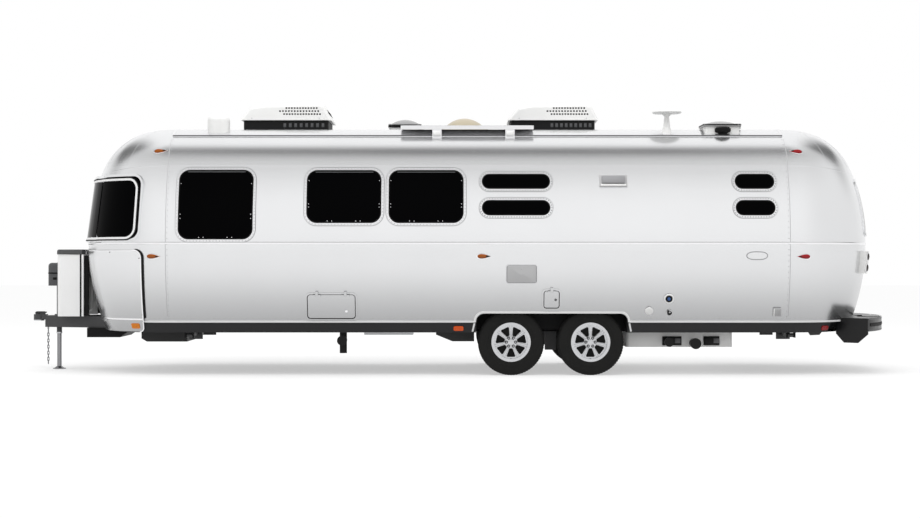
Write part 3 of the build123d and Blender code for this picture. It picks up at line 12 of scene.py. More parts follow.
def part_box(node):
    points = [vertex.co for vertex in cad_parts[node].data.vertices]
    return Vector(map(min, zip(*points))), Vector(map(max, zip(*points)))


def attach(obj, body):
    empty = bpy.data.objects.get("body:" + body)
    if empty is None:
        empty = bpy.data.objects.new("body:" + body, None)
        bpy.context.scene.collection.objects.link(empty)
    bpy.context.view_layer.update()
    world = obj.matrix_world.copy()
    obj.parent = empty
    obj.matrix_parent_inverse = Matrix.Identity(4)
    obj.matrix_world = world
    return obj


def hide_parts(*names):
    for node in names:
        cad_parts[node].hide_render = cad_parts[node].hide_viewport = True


bl_info = {
    "name": "Travel caravan",
    "version": (1, 0, 0),
    "blender": (4, 5, 0),
    "location": "View3D > Sidebar > Caravan",
    "description": "Dresses the travel caravan: skins, trims, rivets, wheels, roof gear and its studio",
    "category": "Object",
}

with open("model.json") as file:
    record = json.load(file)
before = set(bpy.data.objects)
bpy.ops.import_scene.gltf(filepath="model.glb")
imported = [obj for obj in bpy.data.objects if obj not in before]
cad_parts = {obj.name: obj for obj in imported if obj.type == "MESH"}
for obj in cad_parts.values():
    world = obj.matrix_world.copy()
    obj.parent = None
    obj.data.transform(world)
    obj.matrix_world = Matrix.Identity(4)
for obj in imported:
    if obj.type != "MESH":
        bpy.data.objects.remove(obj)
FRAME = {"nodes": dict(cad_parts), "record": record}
NODES = FRAME["nodes"]
SHELL = "caravan"
ROAD, CURB = -1, 1
X_AXIS, Y_AXIS, Z_AXIS = (1, 0, 0), (0, 1, 0), (0, 0, 1)
WHITE = (1.0, 1.0, 1.0, 1.0)

# plan of the shell: the straight stretch, and the centres of the corner and nose arcs
SEAM_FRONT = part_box("wall_left")[0].x
SEAM_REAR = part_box("wall_left")[1].x
CORNER_Y, NOSE_BACK = 0.329, 0.570
NOSE_TURNS = (60.0, 120.0)

# how far out the rays start that find the skin, and how far past its seam an end still counts
SIDE_START, END_START, TOP_START, SEAM_SLACK = 3.0, 4.0, 4.0, 0.002

# heights of the shell's trims and of its rows of rivets
BELT_Z, DRIP_Z, FOOT_TRIM_Z = 1.395, 2.540, 0.569
FOOT_ROW_Z, HEAD_ROW_Z = 0.600, 2.500
BELT_ROW_Z = BELT_Z - 0.022

# side windows: side, x from, x to, z from, z to, corner radius
SIDE_WINDOWS = [
    (ROAD, -2.924, -2.142, 1.432, 2.166, 0.110),
    (ROAD, -1.584, -0.801, 1.603, 2.163, 0.110),
    (ROAD, -0.725, 0.060, 1.603, 2.163, 0.110),
    (ROAD, 0.250, 0.967, 1.962, 2.123, 0.080),
    (ROAD, 0.250, 0.967, 1.683, 1.845, 0.080),
    (ROAD, 2.903, 3.319, 1.962, 2.123, 0.080),
    (ROAD, 2.903, 3.319, 1.683, 1.845, 0.080),
    (CURB, -2.924, -2.142, 1.432, 2.166, 0.110),
    (CURB, -0.200, 0.583, 1.603, 2.163, 0.110),
    (CURB, 0.900, 1.683, 1.603, 2.163, 0.110),
    (CURB, 2.903, 3.319, 1.962, 2.123, 0.080),
    (CURB, 2.903, 3.319, 1.683, 1.845, 0.080),
]
DOOR = (CURB, -1.150, -0.470, 0.600, 2.340, 0.140)
DOOR_GLASS = (CURB, -0.985, -0.635, 1.480, 2.090, 0.090)
STORAGE = (ROAD, -1.575, -1.081, 0.606, 0.850, 0.030)
SERVICE = (ROAD, 0.906, 1.058, 0.717, 0.889, 0.022)
ARCH_X, ARCH_TOP, ARCH_CORNER = (0.190, 1.790), 0.655, 0.090

# wheels, by the name of each one's imported tyre: where each stands along x, and its side
WHEELS = {
    "front_left": (0.561, ROAD),
    "front_right": (0.561, CURB),
    "rear_left": (1.401, ROAD),
    "rear_right": (1.401, CURB),
}

# front windows' heights and how far their mullions stand off, and the stone guards' edges
FRONT_Z, FRONT_LIFT = (1.440, 2.100), (0.022, 0.054)
GUARD_FRONT_TURN, GUARD_REAR_X, GUARD_Z = 69.0, -3.312, (0.458, 1.325)
REFLECTOR_Z = (0.475, 0.521)
AIR_STARTS = (-2.385, 0.553)
TYRE_FACE_Y, TYRE_WIDTH, WHEEL_RADIUS, BEAD_RADIUS = 1.112, 0.215, 0.350, 0.192
DISC_BACK_Y = 1.021


# ---- shader expressions ----
class Value:
    """A shader socket that arithmetic works on."""

    def __init__(self, tree, socket):
        self.tree = tree
        self.socket = socket

    def _math(self, operation, other, swapped=False):
        node = self.tree.nodes.new("ShaderNodeMath")
        node.operation = operation
        pair = (other, self) if swapped else (self, other)
        for entry, value in zip(node.inputs, pair):
            connect(self.tree, entry, value)
        return Value(self.tree, node.outputs[0])

    def __add__(self, other):
        return self._math("ADD", other)

    def __radd__(self, other):
        return self._math("ADD", other, True)

    def __sub__(self, other):
        return self._math("SUBTRACT", other)

    def __rsub__(self, other):
        return self._math("SUBTRACT", other, True)

    def __mul__(self, other):
        return self._math("MULTIPLY", other)

    def __rmul__(self, other):
        return self._math("MULTIPLY", other, True)

    def __truediv__(self, other):
        return self._math("DIVIDE", other)

    def __gt__(self, other):
        return self._math("GREATER_THAN", other)

    def __lt__(self, other):
        return self._math("LESS_THAN", other)


def connect(tree, entry, value):
    """Feeds a socket from a value or a link."""
    if isinstance(value, Value):
        tree.links.new(value.socket, entry)
    else:
        entry.default_value = value


class Shading:
    """Shader nodes gathered in one tree."""

    def __init__(self, tree):
        self.tree = tree

    def node(self, kind, settings=None, inputs=None, output=0):
        """Adds a node: its settings first, then its sockets by name or number."""
        node = self.tree.nodes.new(kind)
        for key, value in (settings or {}).items():
            if key == "stops":
                ramp = node.color_ramp
                while len(ramp.elements) < len(value):
                    ramp.elements.new(0.5)
                for element, (place, colour) in zip(ramp.elements, value):
                    element.position = place
                    element.color = colour
            else:
                setattr(node, key, value)
        for key, value in (inputs or {}).items():
            connect(self.tree, node.inputs[key], value)
        return Value(self.tree, node.outputs[output])

    def place(self):
        """Position on the piece, in metres."""
        return self.node("ShaderNodeTexCoord", output=3)

    def part(self, vector, axis):
        """One part of a vector."""
        return self.node("ShaderNodeSeparateXYZ", inputs={0: vector}, output="XYZ".index(axis))

    def stretched(self, scale):
        """Position, scaled along each axis."""
        return self.node("ShaderNodeMapping", inputs={"Vector": self.place(), "Scale": scale})

    def noise(self, scale, vector=None, detail=3.0, roughness=0.5):
        """Noise about one half."""
        found = vector or self.place()
        inputs = {"Vector": found, "Scale": scale, "Detail": detail, "Roughness": roughness}
        return self.node("ShaderNodeTexNoise", inputs=inputs)

    def blend(self, mask, first, second):
        """One of two colours by a mask."""
        return self.node("ShaderNodeMix", {"data_type": "RGBA"}, {0: mask, 6: first, 7: second}, output=2)

    def ease(self, value, first, last, low=0.0, high=1.0):
        """A smooth passage between two numbers, while a value goes from first to last."""
        inputs = {0: value, 1: first, 2: last, 3: low, 4: high}
        return self.node("ShaderNodeMapRange", {"interpolation_type": "SMOOTHSTEP"}, inputs)

    def clamp(self, value):
        """A value held between nought and one."""
        return self.node("ShaderNodeClamp", inputs={0: value})

    def cells(self, place, scale):
        """Cells of a given number to the metre."""
        return self.node("ShaderNodeTexVoronoi", inputs={"Vector": place, "Scale": scale})


class Finish(Shading):
    """A material under construction round one Principled shader."""

    def __init__(self, name, **fixed):
        self.material = bpy.data.materials.new(name)
        self.material.use_nodes = True
        super().__init__(self.material.node_tree)
        self.shader = self.tree.nodes["Principled BSDF"]
        for socket, value in fixed.items():
            connect(self.tree, self.shader.inputs[socket.replace("_", " ")], value)

    def bump(self, height, strength, distance):
        """Feeds the normal from a height."""
        inputs = {"Height": height, "Strength": strength, "Distance": distance}
        connect(self.tree, self.shader.inputs["Normal"], self.node("ShaderNodeBump", inputs=inputs))

    def feed(self, socket, value):
        """Feeds one socket of the shader."""
        connect(self.tree, self.shader.inputs[socket], value)


def tone(colour, factor=1.0):
    """A colour with its alpha, made lighter or darker."""
    return (*(min(1.0, c * factor) for c in colour[:3]), 1.0)


def metal_sheet(name, colour, roughness, grain=0.04, waviness=0.0004, painted_foot_shade=0.80):
    """Rolled aluminium: long grain, slight panting between the frames, and painted shade darkening it towards
    its foot.
    """
    finish = Finish(name, Metallic=0.92)
    height = finish.part(finish.place(), "Z")
    grain_lines = finish.noise(1.0, finish.stretched((1.2, 1.2, 260.0)), detail=4.0)
    cloud = finish.noise(1.7, detail=2.0)
    dull = finish.noise(0.6, detail=2.0)
    mask = grain_lines * 0.35 + cloud * 0.65
    clean = finish.blend(mask, tone(colour, 0.96), tone(colour, 1.02))
    # painted shade: the colour darkens towards the foot, in place of the darker floor and shadow that the
    # lower sheet reflects
    low = finish.ease(height, 1.60, 0.30, high=painted_foot_shade)
    finish.feed("Base Color", finish.blend(low, clean, tone(colour, 0.30)))
    finish.feed("Roughness", grain_lines * grain + dull * 0.08 + (roughness - 0.04 - grain / 2))
    finish.bump(finish.noise(2.3, detail=1.0), 0.35, waviness)
    return finish.material


def bright_metal(name, colour, roughness):
    """Polished or machined metal with fine turning marks."""
    finish = Finish(name, Metallic=1.0)
    marks = finish.noise(90.0, detail=5.0)
    finish.feed("Base Color", finish.blend(marks, tone(colour, 0.93), tone(colour, 1.04)))
    finish.feed("Roughness", marks * 0.12 + (roughness - 0.06))
    finish.bump(marks, 0.12, 0.0003)
    return finish.material


def paint(name, colour, roughness, coat=0.0, dust=0.06, shine=0.5):
    """Brushed or sprayed paint with orange peel and a little road dust low down."""
    finish = Finish(name, Coat_Weight=coat, Specular_IOR_Level=shine)
    low = 1.0 - finish.part(finish.place(), "Z") * 1.6
    dusty = finish.noise(5.0, detail=6.0) * finish.clamp(low) * dust
    finish.feed("Base Color", finish.blend(dusty, tone(colour), (0.42, 0.40, 0.37, 1.0)))
    finish.feed("Roughness", finish.noise(8.0) * 0.14 + dusty * 0.5 + (roughness - 0.07))
    finish.bump(finish.noise(420.0, detail=1.0), 0.08, 0.0004)
    return finish.material


def moulded(name, colour, roughness, texture=260.0, shine=0.5):
    """Moulded plastic with a fine leather grain and slight uneven fading."""
    finish = Finish(name, Specular_IOR_Level=shine)
    faded = finish.noise(3.0, detail=3.0)
    finish.feed("Base Color", finish.blend(faded, tone(colour, 0.94), tone(colour, 1.04)))
    finish.feed("Roughness", faded * 0.1 + (roughness - 0.05))
    finish.bump(finish.cells(finish.place(), texture), 0.14, 0.0006)
    return finish.material


def two_tanks(name, rear, front):
    """Moulded tanks: pale behind the axles and black ahead of them."""
    finish = Finish(name)
    place = finish.place()
    faded = finish.noise(3.0, detail=3.0)
    behind = finish.part(place, "X") > 1.7
    shade = finish.blend(faded, tone(rear, 0.94), tone(rear, 1.04))
    finish.feed("Base Color", finish.blend(behind, tone(front), shade))
    finish.feed("Roughness", faded * 0.1 + 0.48)
    finish.bump(finish.cells(place, 220.0), 0.14, 0.0006)
    return finish.material


def tinted_glass(name, colour, roughness):
    """Dark coated glass, nearly black, with a faint waviness."""
    finish = Finish(name, Specular_IOR_Level=0.015)
    shade = finish.noise(0.9, detail=1.0)
    finish.feed("Base Color", finish.blend(shade, tone(colour, 0.8), tone(colour, 1.2)))
    finish.feed("Roughness", shade * 0.04 + roughness)
    return finish.material


def lens(name, colour):
    """Ribbed lamp lens over a bright reflector."""
    finish = Finish(name, Roughness=0.16, Specular_IOR_Level=0.25, Coat_Weight=0.12, Coat_Roughness=0.05)
    ribs = finish.cells(finish.stretched((1.0, 1.0, 1.0)), 190.0)
    finish.feed("Base Color", finish.blend(ribs, tone(colour, 1.15), tone(colour, 0.6)))
    finish.bump(ribs, 0.5, 0.0012)
    return finish.material


def rubber(name):
    """Tyre rubber, greyer where it scuffs."""
    finish = Finish(name, Specular_IOR_Level=0.22)
    scuff = finish.noise(14.0, detail=6.0)
    finish.feed("Base Color", finish.blend(scuff, (0.003, 0.003, 0.003, 1.0), (0.013, 0.013, 0.012, 1.0)))
    finish.feed("Roughness", scuff * 0.2 + 0.62)
    finish.bump(finish.noise(300.0, detail=3.0), 0.25, 0.0004)
    return finish.material


def solar_face(name):
    """Solar cells under glass, with fine bus lines."""
    finish = Finish(name, Coat_Weight=0.8, Coat_Roughness=0.06)
    place = finish.place()
    lines, cell, line_share = None, 0.157, 0.035
    for axis in "XY":
        along = finish.part(place, axis) / cell
        gap = finish.node("ShaderNodeMath", {"operation": "FRACT"}, {0: along}) < line_share
        lines = gap if lines is None else lines + gap
    patch = finish.noise(9.0, detail=4.0)
    dark = finish.blend(patch, (0.006, 0.009, 0.022, 1.0), (0.016, 0.022, 0.050, 1.0))
    face = finish.blend(finish.clamp(lines), dark, (0.36, 0.37, 0.39, 1.0))
    up = finish.part(finish.node("ShaderNodeTexCoord", output=1), "Z") > 0.8
    finish.feed("Base Color", finish.blend(up, (0.80, 0.80, 0.81, 1.0), face))
    finish.feed("Roughness", patch * 0.08 + up * -0.14 + 0.30)
    return finish.material


def board(name):
    """Plain boarded floor."""
    finish = Finish(name)
    grain = finish.noise(1.0, finish.stretched((1.5, 34.0, 34.0)), detail=6.0)
    finish.feed("Base Color", finish.blend(grain, (0.30, 0.20, 0.12, 1.0), (0.50, 0.37, 0.24, 1.0)))
    finish.feed("Roughness", grain * 0.2 + 0.42)
    finish.bump(grain, 0.2, 0.0008)
    return finish.material


# nodes whose real finish differs from that of the others in their slot
OWN_FINISH = {
    "tanks": "tank_grey",
    "bumper": "gloss_black",
    "bumper_lid": "gloss_black",
    "tray": "under_black",
    "axles": "under_black",
    "under_mounts": "under_black",
    "vent_lid_front": "vent_dome",
    "vent_lid_rear": "vent_dome",
    "jack_foot": "dull_zinc",
    "skirt": "skirt_black",
    "jack_post": "head_grey",
    "gas_box": "box_white",
}
# finishes of fixed colour: how each is made, its colour and whatever else its maker takes
PLAIN_FINISHES = {
    "polished_sheet": (metal_sheet, (0.90, 0.905, 0.915), 0.20, 0.02, 0.0002),
    "dark_glass": (tinted_glass, (0.001, 0.001, 0.0012), 0.05),
    "smoke_moulding": (tinted_glass, (0.030, 0.031, 0.034), 0.14),
    "gloss_black": (paint, (0.006, 0.006, 0.0065), 0.30, 0.0, 0.0, 0.28),
    "under_black": (paint, (0.005, 0.005, 0.0055), 0.50, 0.0, 0.02, 0.15),
    "skirt_black": (paint, (0.021, 0.021, 0.022), 0.42, 0.0, 0.03, 0.22),
    "head_grey": (paint, (0.085, 0.086, 0.090), 0.46, 0.0, 0.0, 0.3),
    "bottle_paint": (paint, (0.72, 0.72, 0.70), 0.32, 0.3, 0.0),
    "white_trim": (paint, (0.88, 0.88, 0.88), 0.34, 0.2, 0.0),
    "dull_zinc": (bright_metal, (0.30, 0.30, 0.31), 0.34),
    "zinc_steel": (bright_metal, (0.60, 0.61, 0.63), 0.36),
    "bright_edge": (bright_metal, (0.90, 0.90, 0.91), 0.18),
    "cast_plate": (moulded, (0.47, 0.47, 0.475), 0.30, 120.0),
    "vent_dome": (moulded, (0.28, 0.28, 0.28), 0.22, 60.0),
    "rail_grey": (moulded, (0.12, 0.12, 0.125), 0.40),
    # grey for rivets, rims and the porch light's lens, and for the painted shadow lines round the side
    # windows and under the caps' laps
    "ring_grey": (moulded, (0.30, 0.30, 0.31), 0.36),
    "lap_grey": (moulded, (0.46, 0.46, 0.47), 0.36),
    "dark_trim": (moulded, (0.008, 0.008, 0.0085), 0.55, 260.0, 0.18),
    "white_moulding": (moulded, (0.84, 0.84, 0.83), 0.38),
    "box_white": (moulded, (0.97, 0.97, 0.965), 0.34),
    "grey_moulding": (moulded, (0.075, 0.077, 0.080), 0.46),
    "tan_moulding": (moulded, (0.44, 0.385, 0.28), 0.30, 120.0),
    "blue_cap": (moulded, (0.02, 0.08, 0.26), 0.40),
    "lens_dark": (moulded, (0.020, 0.014, 0.012), 0.22, 260.0, 0.3),
    "black_pipe": (moulded, (0.006, 0.006, 0.006), 0.46, 260.0, 0.2),
    # black for seals, sockets and pipes, and for the wheels' dark discs of painted shade and the painted
    # shadow line round the front windows
    "seal_black": (moulded, (0.005, 0.005, 0.005), 0.60, 260.0, 0.16),
    "tank_grey": (two_tanks, (0.96, 0.96, 0.95), (0.010, 0.010, 0.010)),
    "amber_lens": (lens, (0.36, 0.085, 0.004)),
    "amber_reflector": (lens, (1.0, 0.26, 0.008)),
    "skirt_reflector": (lens, (0.92, 0.11, 0.010)),
    "red_lens": (lens, (0.34, 0.006, 0.010)),
    "tyre_rubber": (rubber,),
    "floor_board": (board,),
    "solar_cells": (solar_face,),
}
FINISHES = {}


def finish_of(name):
    """A finish by its name, once the finishes are made."""
    return FINISHES[name]


# ---- mesh helpers ----
class Mesh:
    """Vertices and faces gathered for one piece."""

    def __init__(self):
        self.points = []
        self.faces = []

    def add(self, points, faces):
        """Adds points and the faces between them."""
        base = len(self.points)
        self.points += [Vector(p) for p in points]
        self.faces += [tuple(base + i for i in face) for face in faces]

    def add_rings(self, points, sides, closed=False):
        """Adds rings of points joined by quads, closed on themselves or with flat ends."""
        count = len(points) // sides
        faces = bands(count, sides, closed)
        if not closed:
            faces += [tuple(range(sides))[::-1], tuple(range((count - 1) * sides, count * sides))]
        self.add(points, faces)

    def piece(self, name, body, finish, smooth=40.0):
        """Makes the Blender object and rides it on a body."""
        mesh = bpy.data.meshes.new(name)
        mesh.from_pydata(self.points, [], self.faces)
        mesh.validate()
        mesh.update()
        made = bpy.data.objects.new(name, mesh)
        bpy.context.scene.collection.objects.link(made)
        made.data.materials.append(finish_of(finish))
        mesh.shade_smooth()
        mesh.set_sharp_from_angle(angle=math.radians(smooth))
        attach(made, body)
        return made


def bands(count, sides, closed=False):
    """The quads between rings of points, and from the last ring to the first if closed."""
    faces = []
    for ring in range(count if closed else count - 1):
        ahead = (ring + 1) % count
        for i in range(sides):
            j = (i + 1) % sides
            faces.append((ring * sides + i, ring * sides + j, ahead * sides + j, ahead * sides + i))
    return faces


def circle(centre, u, v, radius, sides):
    """Points round a centre, on two axes."""
    turns = [2 * math.pi * i / sides for i in range(sides)]
    return [centre + (u * math.cos(a) + v * math.sin(a)) * radius for a in turns]


def frame_of(normal, along):
    """Two unit axes square to a normal, the first as near as can be to a direction."""
    normal = Vector(normal).normalized()
    along = Vector(along) - normal * normal.dot(Vector(along))
    along.normalize()
    return along, normal.cross(along)


def dome(mesh, point, normal, radius, rise, sides=8):
    """A low round head, as on a rivet."""
    u, v = frame_of(normal, X_AXIS if abs(normal[0]) < 0.9 else Z_AXIS)
    point, normal = Vector(point), Vector(normal).normalized()
    points = []
    rows = ((1.0, -0.15), (0.86, 0.55), (0.45, 0.92))
    for reach, up in rows:
        for i in range(sides):
            a = 2 * math.pi * i / sides
            out = (u * math.cos(a) + v * math.sin(a)) * radius
            points.append(point + out * reach + normal * rise * up)
    points.append(point + normal * rise)
    top, tip = (len(rows) - 1) * sides, len(rows) * sides
    crown = [(top + i, top + (i + 1) % sides, tip) for i in range(sides)]
    mesh.add(points, bands(len(rows), sides) + crown)


def lathe(mesh, origin, axis, profile, sides=32, closed=False):
    """Turns (distance along, radius) pairs round an axis."""
    origin, axis = Vector(origin), Vector(axis).normalized()
    u, v = frame_of(axis, X_AXIS if abs(axis.x) < 0.9 else Z_AXIS)
    points = []
    for along, radius in profile:
        points += circle(origin + axis * along, u, v, radius, sides)
    mesh.add_rings(points, sides, closed)


def run(mesh, path, section, loop=False):
    """Sweeps a section of (along the surface, off the surface) along a path of (point, normal)."""
    count = len(path)
    points = []
    for i, (point, normal) in enumerate(path):
        ahead = path[(i + 1) % count][0] if loop or i + 1 < count else point
        behind = path[i - 1][0] if loop or i else point
        tangent = (ahead - behind).normalized()
        across = normal.cross(tangent).normalized()
        points += [point + across * a + normal * b for a, b in section]
    mesh.add_rings(points, len(section), loop)


# sections one unit to a side and one unit high
HALF_ROUND = [(-1.0, -0.2), (-1.0, 0.1), (-0.7, 0.62), (-0.25, 0.95),
              (0.25, 0.95), (0.7, 0.62), (1.0, 0.1), (1.0, -0.2)]
FLAT_BAR = [(-1.0, -0.5), (-1.0, 0.7), (-0.85, 1.0), (0.85, 1.0), (1.0, 0.7), (1.0, -0.5)]
DRIP_LIP = [(-0.006, -0.002), (-0.006, 0.010), (0.0, 0.014), (0.005, 0.012), (0.004, -0.002)]


def bead(mesh, path, half, rise, loop=False):
    """A half-round bead along a path, of a given half width and rise."""
    run(mesh, path, [(a * half, b * rise) for a, b in HALF_ROUND], loop)


def bar(mesh, path, half, rise, loop=False):
    """A flat bar along a path, of a given half width and rise."""
    run(mesh, path, [(a * half, b * rise) for a, b in FLAT_BAR], loop)


def slab(mesh, centre, u, v, n, size, bevel=0.003):
    """A bevelled block on three axes."""
    u, v, n = Vector(u).normalized(), Vector(v).normalized(), Vector(n).normalized()
    hx, hy, hz = (s / 2 for s in size)
    b = min(bevel, hx * 0.9, hy * 0.9, hz * 0.9)
    c = b * 0.6
    points = []
    for z, inset in ((-hz, b), (-hz + b, 0.0), (hz - b, 0.0), (hz, b)):
        x, y = hx - inset, hy - inset
        outline = [(-x + c, -y), (x - c, -y), (x, -y + c), (x, y - c),
                   (x - c, y), (-x + c, y), (-x, y - c), (-x, -y + c)]
        points += [Vector(centre) + u * a + v * d + n * z for a, d in outline]
    mesh.add_rings(points, 8)


def plate(mesh, centre, out, size, bevel=0.003):
    """A bevelled block against a side: its length, its height and how far it stands out."""
    slab(mesh, centre, X_AXIS, Z_AXIS, out, size, bevel)


def tube(mesh, path, radius, sides=12):
    """A round bar along a path of points."""
    points = []
    side = None
    for i, point in enumerate(path):
        ahead = path[min(i + 1, len(path) - 1)]
        behind = path[max(i - 1, 0)]
        tangent = (Vector(ahead) - Vector(behind)).normalized()
        if side is None:
            side = tangent.orthogonal().normalized()
        side = (side - tangent * side.dot(tangent)).normalized()
        points += circle(Vector(point), side, tangent.cross(side), radius, sides)
    mesh.add_rings(points, sides)


class Skin:
    """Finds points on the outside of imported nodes."""

    def __init__(self, names):
        points, faces = [], []
        for name in names:
            data = NODES[name].data
            base = len(points)
            points += [v.co.copy() for v in data.vertices]
            faces += [[base + i for i in p.vertices] for p in data.polygons]
        self.tree = BVHTree.FromPolygons(points, faces)

    def seek(self, origin, direction):
        """The first point met from an origin with its outward normal, or none."""
        direction = Vector(direction).normalized()
        point, normal, _, _ = self.tree.ray_cast(Vector(origin), direction)
        if point is None:
            return None
        return point, normal if normal.dot(direction) < 0 else -normal

    def side(self, x, z, side):
        """A point on a side, or none where an opening lets the ray through to the far side."""
        found = self.seek((x, side * SIDE_START, z), (0, -side, 0))
        return found if found and found[0].y * side > 0 else None

    def top(self, x, y):
        """A point on the roof."""
        return self.seek((x, y, TOP_START), (0, 0, -1))

    def end(self, turn, z, rear=False):
        """A point on an end by its plan turn, from 0 at the road side to 180 at the curb side."""
        a, face = math.radians(turn), 1 if rear else -1
        seam = SEAM_REAR if rear else SEAM_FRONT
        out = Vector((face * math.sin(a), -math.cos(a), 0))
        centre = Vector((seam, 0, z))
        if NOSE_TURNS[0] < turn < NOSE_TURNS[1]:
            centre.x -= face * NOSE_BACK
        else:
            centre.y = math.copysign(CORNER_Y, turn - 90.0)
        found = self.seek(centre + out * END_START, -out)
        return found if found and (found[0].x - seam) * face > -SEAM_SLACK else None

    def round(self, z, pitch=0.08, step=4.0):
        """The whole way round at a height, from the rear seam forward along the road side."""
        path = onto_side(self, level(SEAM_REAR, SEAM_FRONT, pitch, z), ROAD)
        path += onto_end(self, level(step, 180.0 - step, step, z))
        path += onto_side(self, level(SEAM_FRONT, SEAM_REAR, pitch, z), CURB)
        path += onto_end(self, level(180.0 - step, step, step, z), True)
        return path


def stretches(path, reach=0.30):
    """The unbroken stretches of a path, which ends at a miss or a jump."""
    parts = [[]]
    for found in path:
        if not found or (parts[-1] and (found[0] - parts[-1][-1][0]).length > reach):
            parts.append([])
        if found:
            parts[-1].append(found)
    return [part for part in parts if len(part) > 1]


def steps(first, last, pitch):
    """Even steps from one number to another."""
    count = max(1, round(abs(last - first) / pitch))
    return [first + (last - first) * i / count for i in range(count + 1)]


def level(first, last, pitch, z):
    """Places in steps at one height."""
    return [(place, z) for place in steps(first, last, pitch)]


def upright(place, low, high, pitch):
    """Places in steps up one line."""
    return [(place, z) for z in steps(low, high, pitch)]


def rounded(x0, x1, z0, z1, corner, grow=0.0, arc=7):
    """A rounded rectangle's outline, in x and z."""
    x0, x1, z0, z1 = x0 - grow, x1 + grow, z0 - grow, z1 + grow
    r = max(0.001, min(corner + grow, (x1 - x0) / 2, (z1 - z0) / 2))
    outline = []
    corners = ((x1 - r, z1 - r, 0), (x0 + r, z1 - r, 90), (x0 + r, z0 + r, 180), (x1 - r, z0 + r, 270))
    for cx, cz, start in corners:
        for i in range(arc + 1):
            a = math.radians(start + 90 * i / arc)
            outline.append((cx + r * math.cos(a), cz + r * math.sin(a)))
    return outline


def evenly(path, pitch, loop=True):
    """Points an even pitch apart along (point, normal) pairs."""
    rows = path + path[:1] if loop else path
    lengths = [0.0]
    for (a, _), (b, _) in zip(rows, rows[1:]):
        lengths.append(lengths[-1] + (b - a).length)
    count = max(1, round(lengths[-1] / pitch))
    found, k = [], 0
    for i in range(count if loop else count + 1):
        want = lengths[-1] * i / count
        while k + 2 < len(lengths) and lengths[k + 1] < want:
            k += 1
        share = (want - lengths[k]) / max(lengths[k + 1] - lengths[k], 1e-9)
        (a, na), (b, nb) = rows[k], rows[k + 1]
        found.append((a.lerp(b, share), na.lerp(nb, share).normalized()))
    return found


def onto_side(skin, outline, side):
    """An outline in x and z, laid on a side."""
    return [found for found in (skin.side(x, z, side) for x, z in outline) if found]


def onto_end(skin, outline, rear=False):
    """An outline in plan turn and height, laid on an end."""
    return [found for found in (skin.end(turn, z, rear) for turn, z in outline) if found]


def girdle(skin, centre, reach, pitch):
    """The way round a lid or a housing at one height, in steps of whole degrees."""
    ways = [Vector((math.cos(a), math.sin(a), 0)) for a in map(math.radians, range(0, 360, pitch))]
    return [found for found in (skin.seek(Vector(centre) + way * reach, -way) for way in ways) if found]


def flatten(outline, fine=0.04):
    """An outline's long runs cut into short ones, so that they follow a curved side."""
    dense = []
    for i, (x0, z0) in enumerate(outline):
        x1, z1 = outline[(i + 1) % len(outline)]
        count = max(1, round(math.hypot(x1 - x0, z1 - z0) / fine))
        dense += [(x0 + (x1 - x0) * k / count, z0 + (z1 - z0) * k / count) for k in range(count)]
    return dense


def studs(name, places, radius, rise, body=SHELL, finish="aluminium_skin"):
    """A joined set of rivet heads."""
    mesh = Mesh()
    for point, normal in places:
        dome(mesh, point, normal, radius, rise)
    return mesh.piece(name, body, finish)


def sheet(mesh, rows, thickness, lift=0.0):
    """A closed sheet of a thickness over rows of (point, normal), lifted off them if asked."""
    high, wide = len(rows), len(rows[0])
    outer = [p + n * (lift + thickness) for row in rows for p, n in row]
    inner = [p + n * lift for row in rows for p, n in row]
    faces = []
    for r in range(high - 1):
        for c in range(wide - 1):
            a, b = r * wide + c, (r + 1) * wide + c
            faces.append((a, a + 1, b + 1, b))
            faces.append(tuple(high * wide + k for k in (b, b + 1, a + 1, a)))
    rim = list(range(wide)) + [r * wide + wide - 1 for r in range(1, high)]
    rim += [(high - 1) * wide + c for c in range(wide - 2, -1, -1)]
    rim += [r * wide for r in range(high - 2, 0, -1)]
    for a, b in zip(rim, rim[1:] + rim[:1]):
        faces.append((b, a, high * wide + a, high * wide + b))
    mesh.add(outer + inner, faces)


def mirrored(turn):
    """A plan turn on the road side, as its mirror on the curb side."""
    return 180.0 - turn


def round_off(rows):
    """Rows of a small pad with its corners drawn in."""
    for r in (0, -1):
        for corner, inner in ((0, 1), (-1, -2)):
            rows[r][corner] = rows[r][inner]
    return rows


def drop_lens(mesh, point, normal, nose, size, rise):
    """A teardrop lens, round at its nose and drawn out to its tail."""
    along, across = frame_of(normal, nose)
    length, width = size
    stations, ring, nose_share = 18, 12, 0.30
    points, faces = [], []
    for i in range(stations + 1):
        share = i / stations
        if share < nose_share:
            full = math.sqrt(1 - (1 - share / nose_share) ** 2)
        else:
            full = 1 - ((share - nose_share) / (1 - nose_share)) ** 1.7
        full = max(full, 0.06)
        for k in range(ring + 1):
            a = math.pi * k / ring
            flat = across * math.cos(a) * width / 2 * full
            lifted = Vector(normal) * rise * math.sin(a) * full
            points.append(Vector(point) + along * length * (0.5 - share) + flat + lifted)
    wide = ring + 1
    for i in range(stations):
        for k in range(ring):
            a, b = i * wide + k, (i + 1) * wide + k
            faces.append((a, b, b + 1, a + 1))
    base = [i * wide for i in range(stations + 1)] + [i * wide + ring for i in range(stations, -1, -1)]
    faces += [tuple(base), tuple(range(wide)), tuple(stations * wide + k for k in range(ring, -1, -1))]
    mesh.add(points, faces)


WALLS = Skin(["wall_left", "wall_right", "roof", "cap_front", "cap_rear"])
SIDES = Skin(["wall_left", "wall_right", "door", "roof"])
PANES = Skin(["window_frames", "window_glass", "door_glass"])
FRAMES = Skin(["window_frames"])
GUARDS = Skin(["stone_guards"])
SKIRT = Skin(["skirt"])
FITTINGS = Skin(["wall_fittings"])
TANKS = Skin(["tanks"])


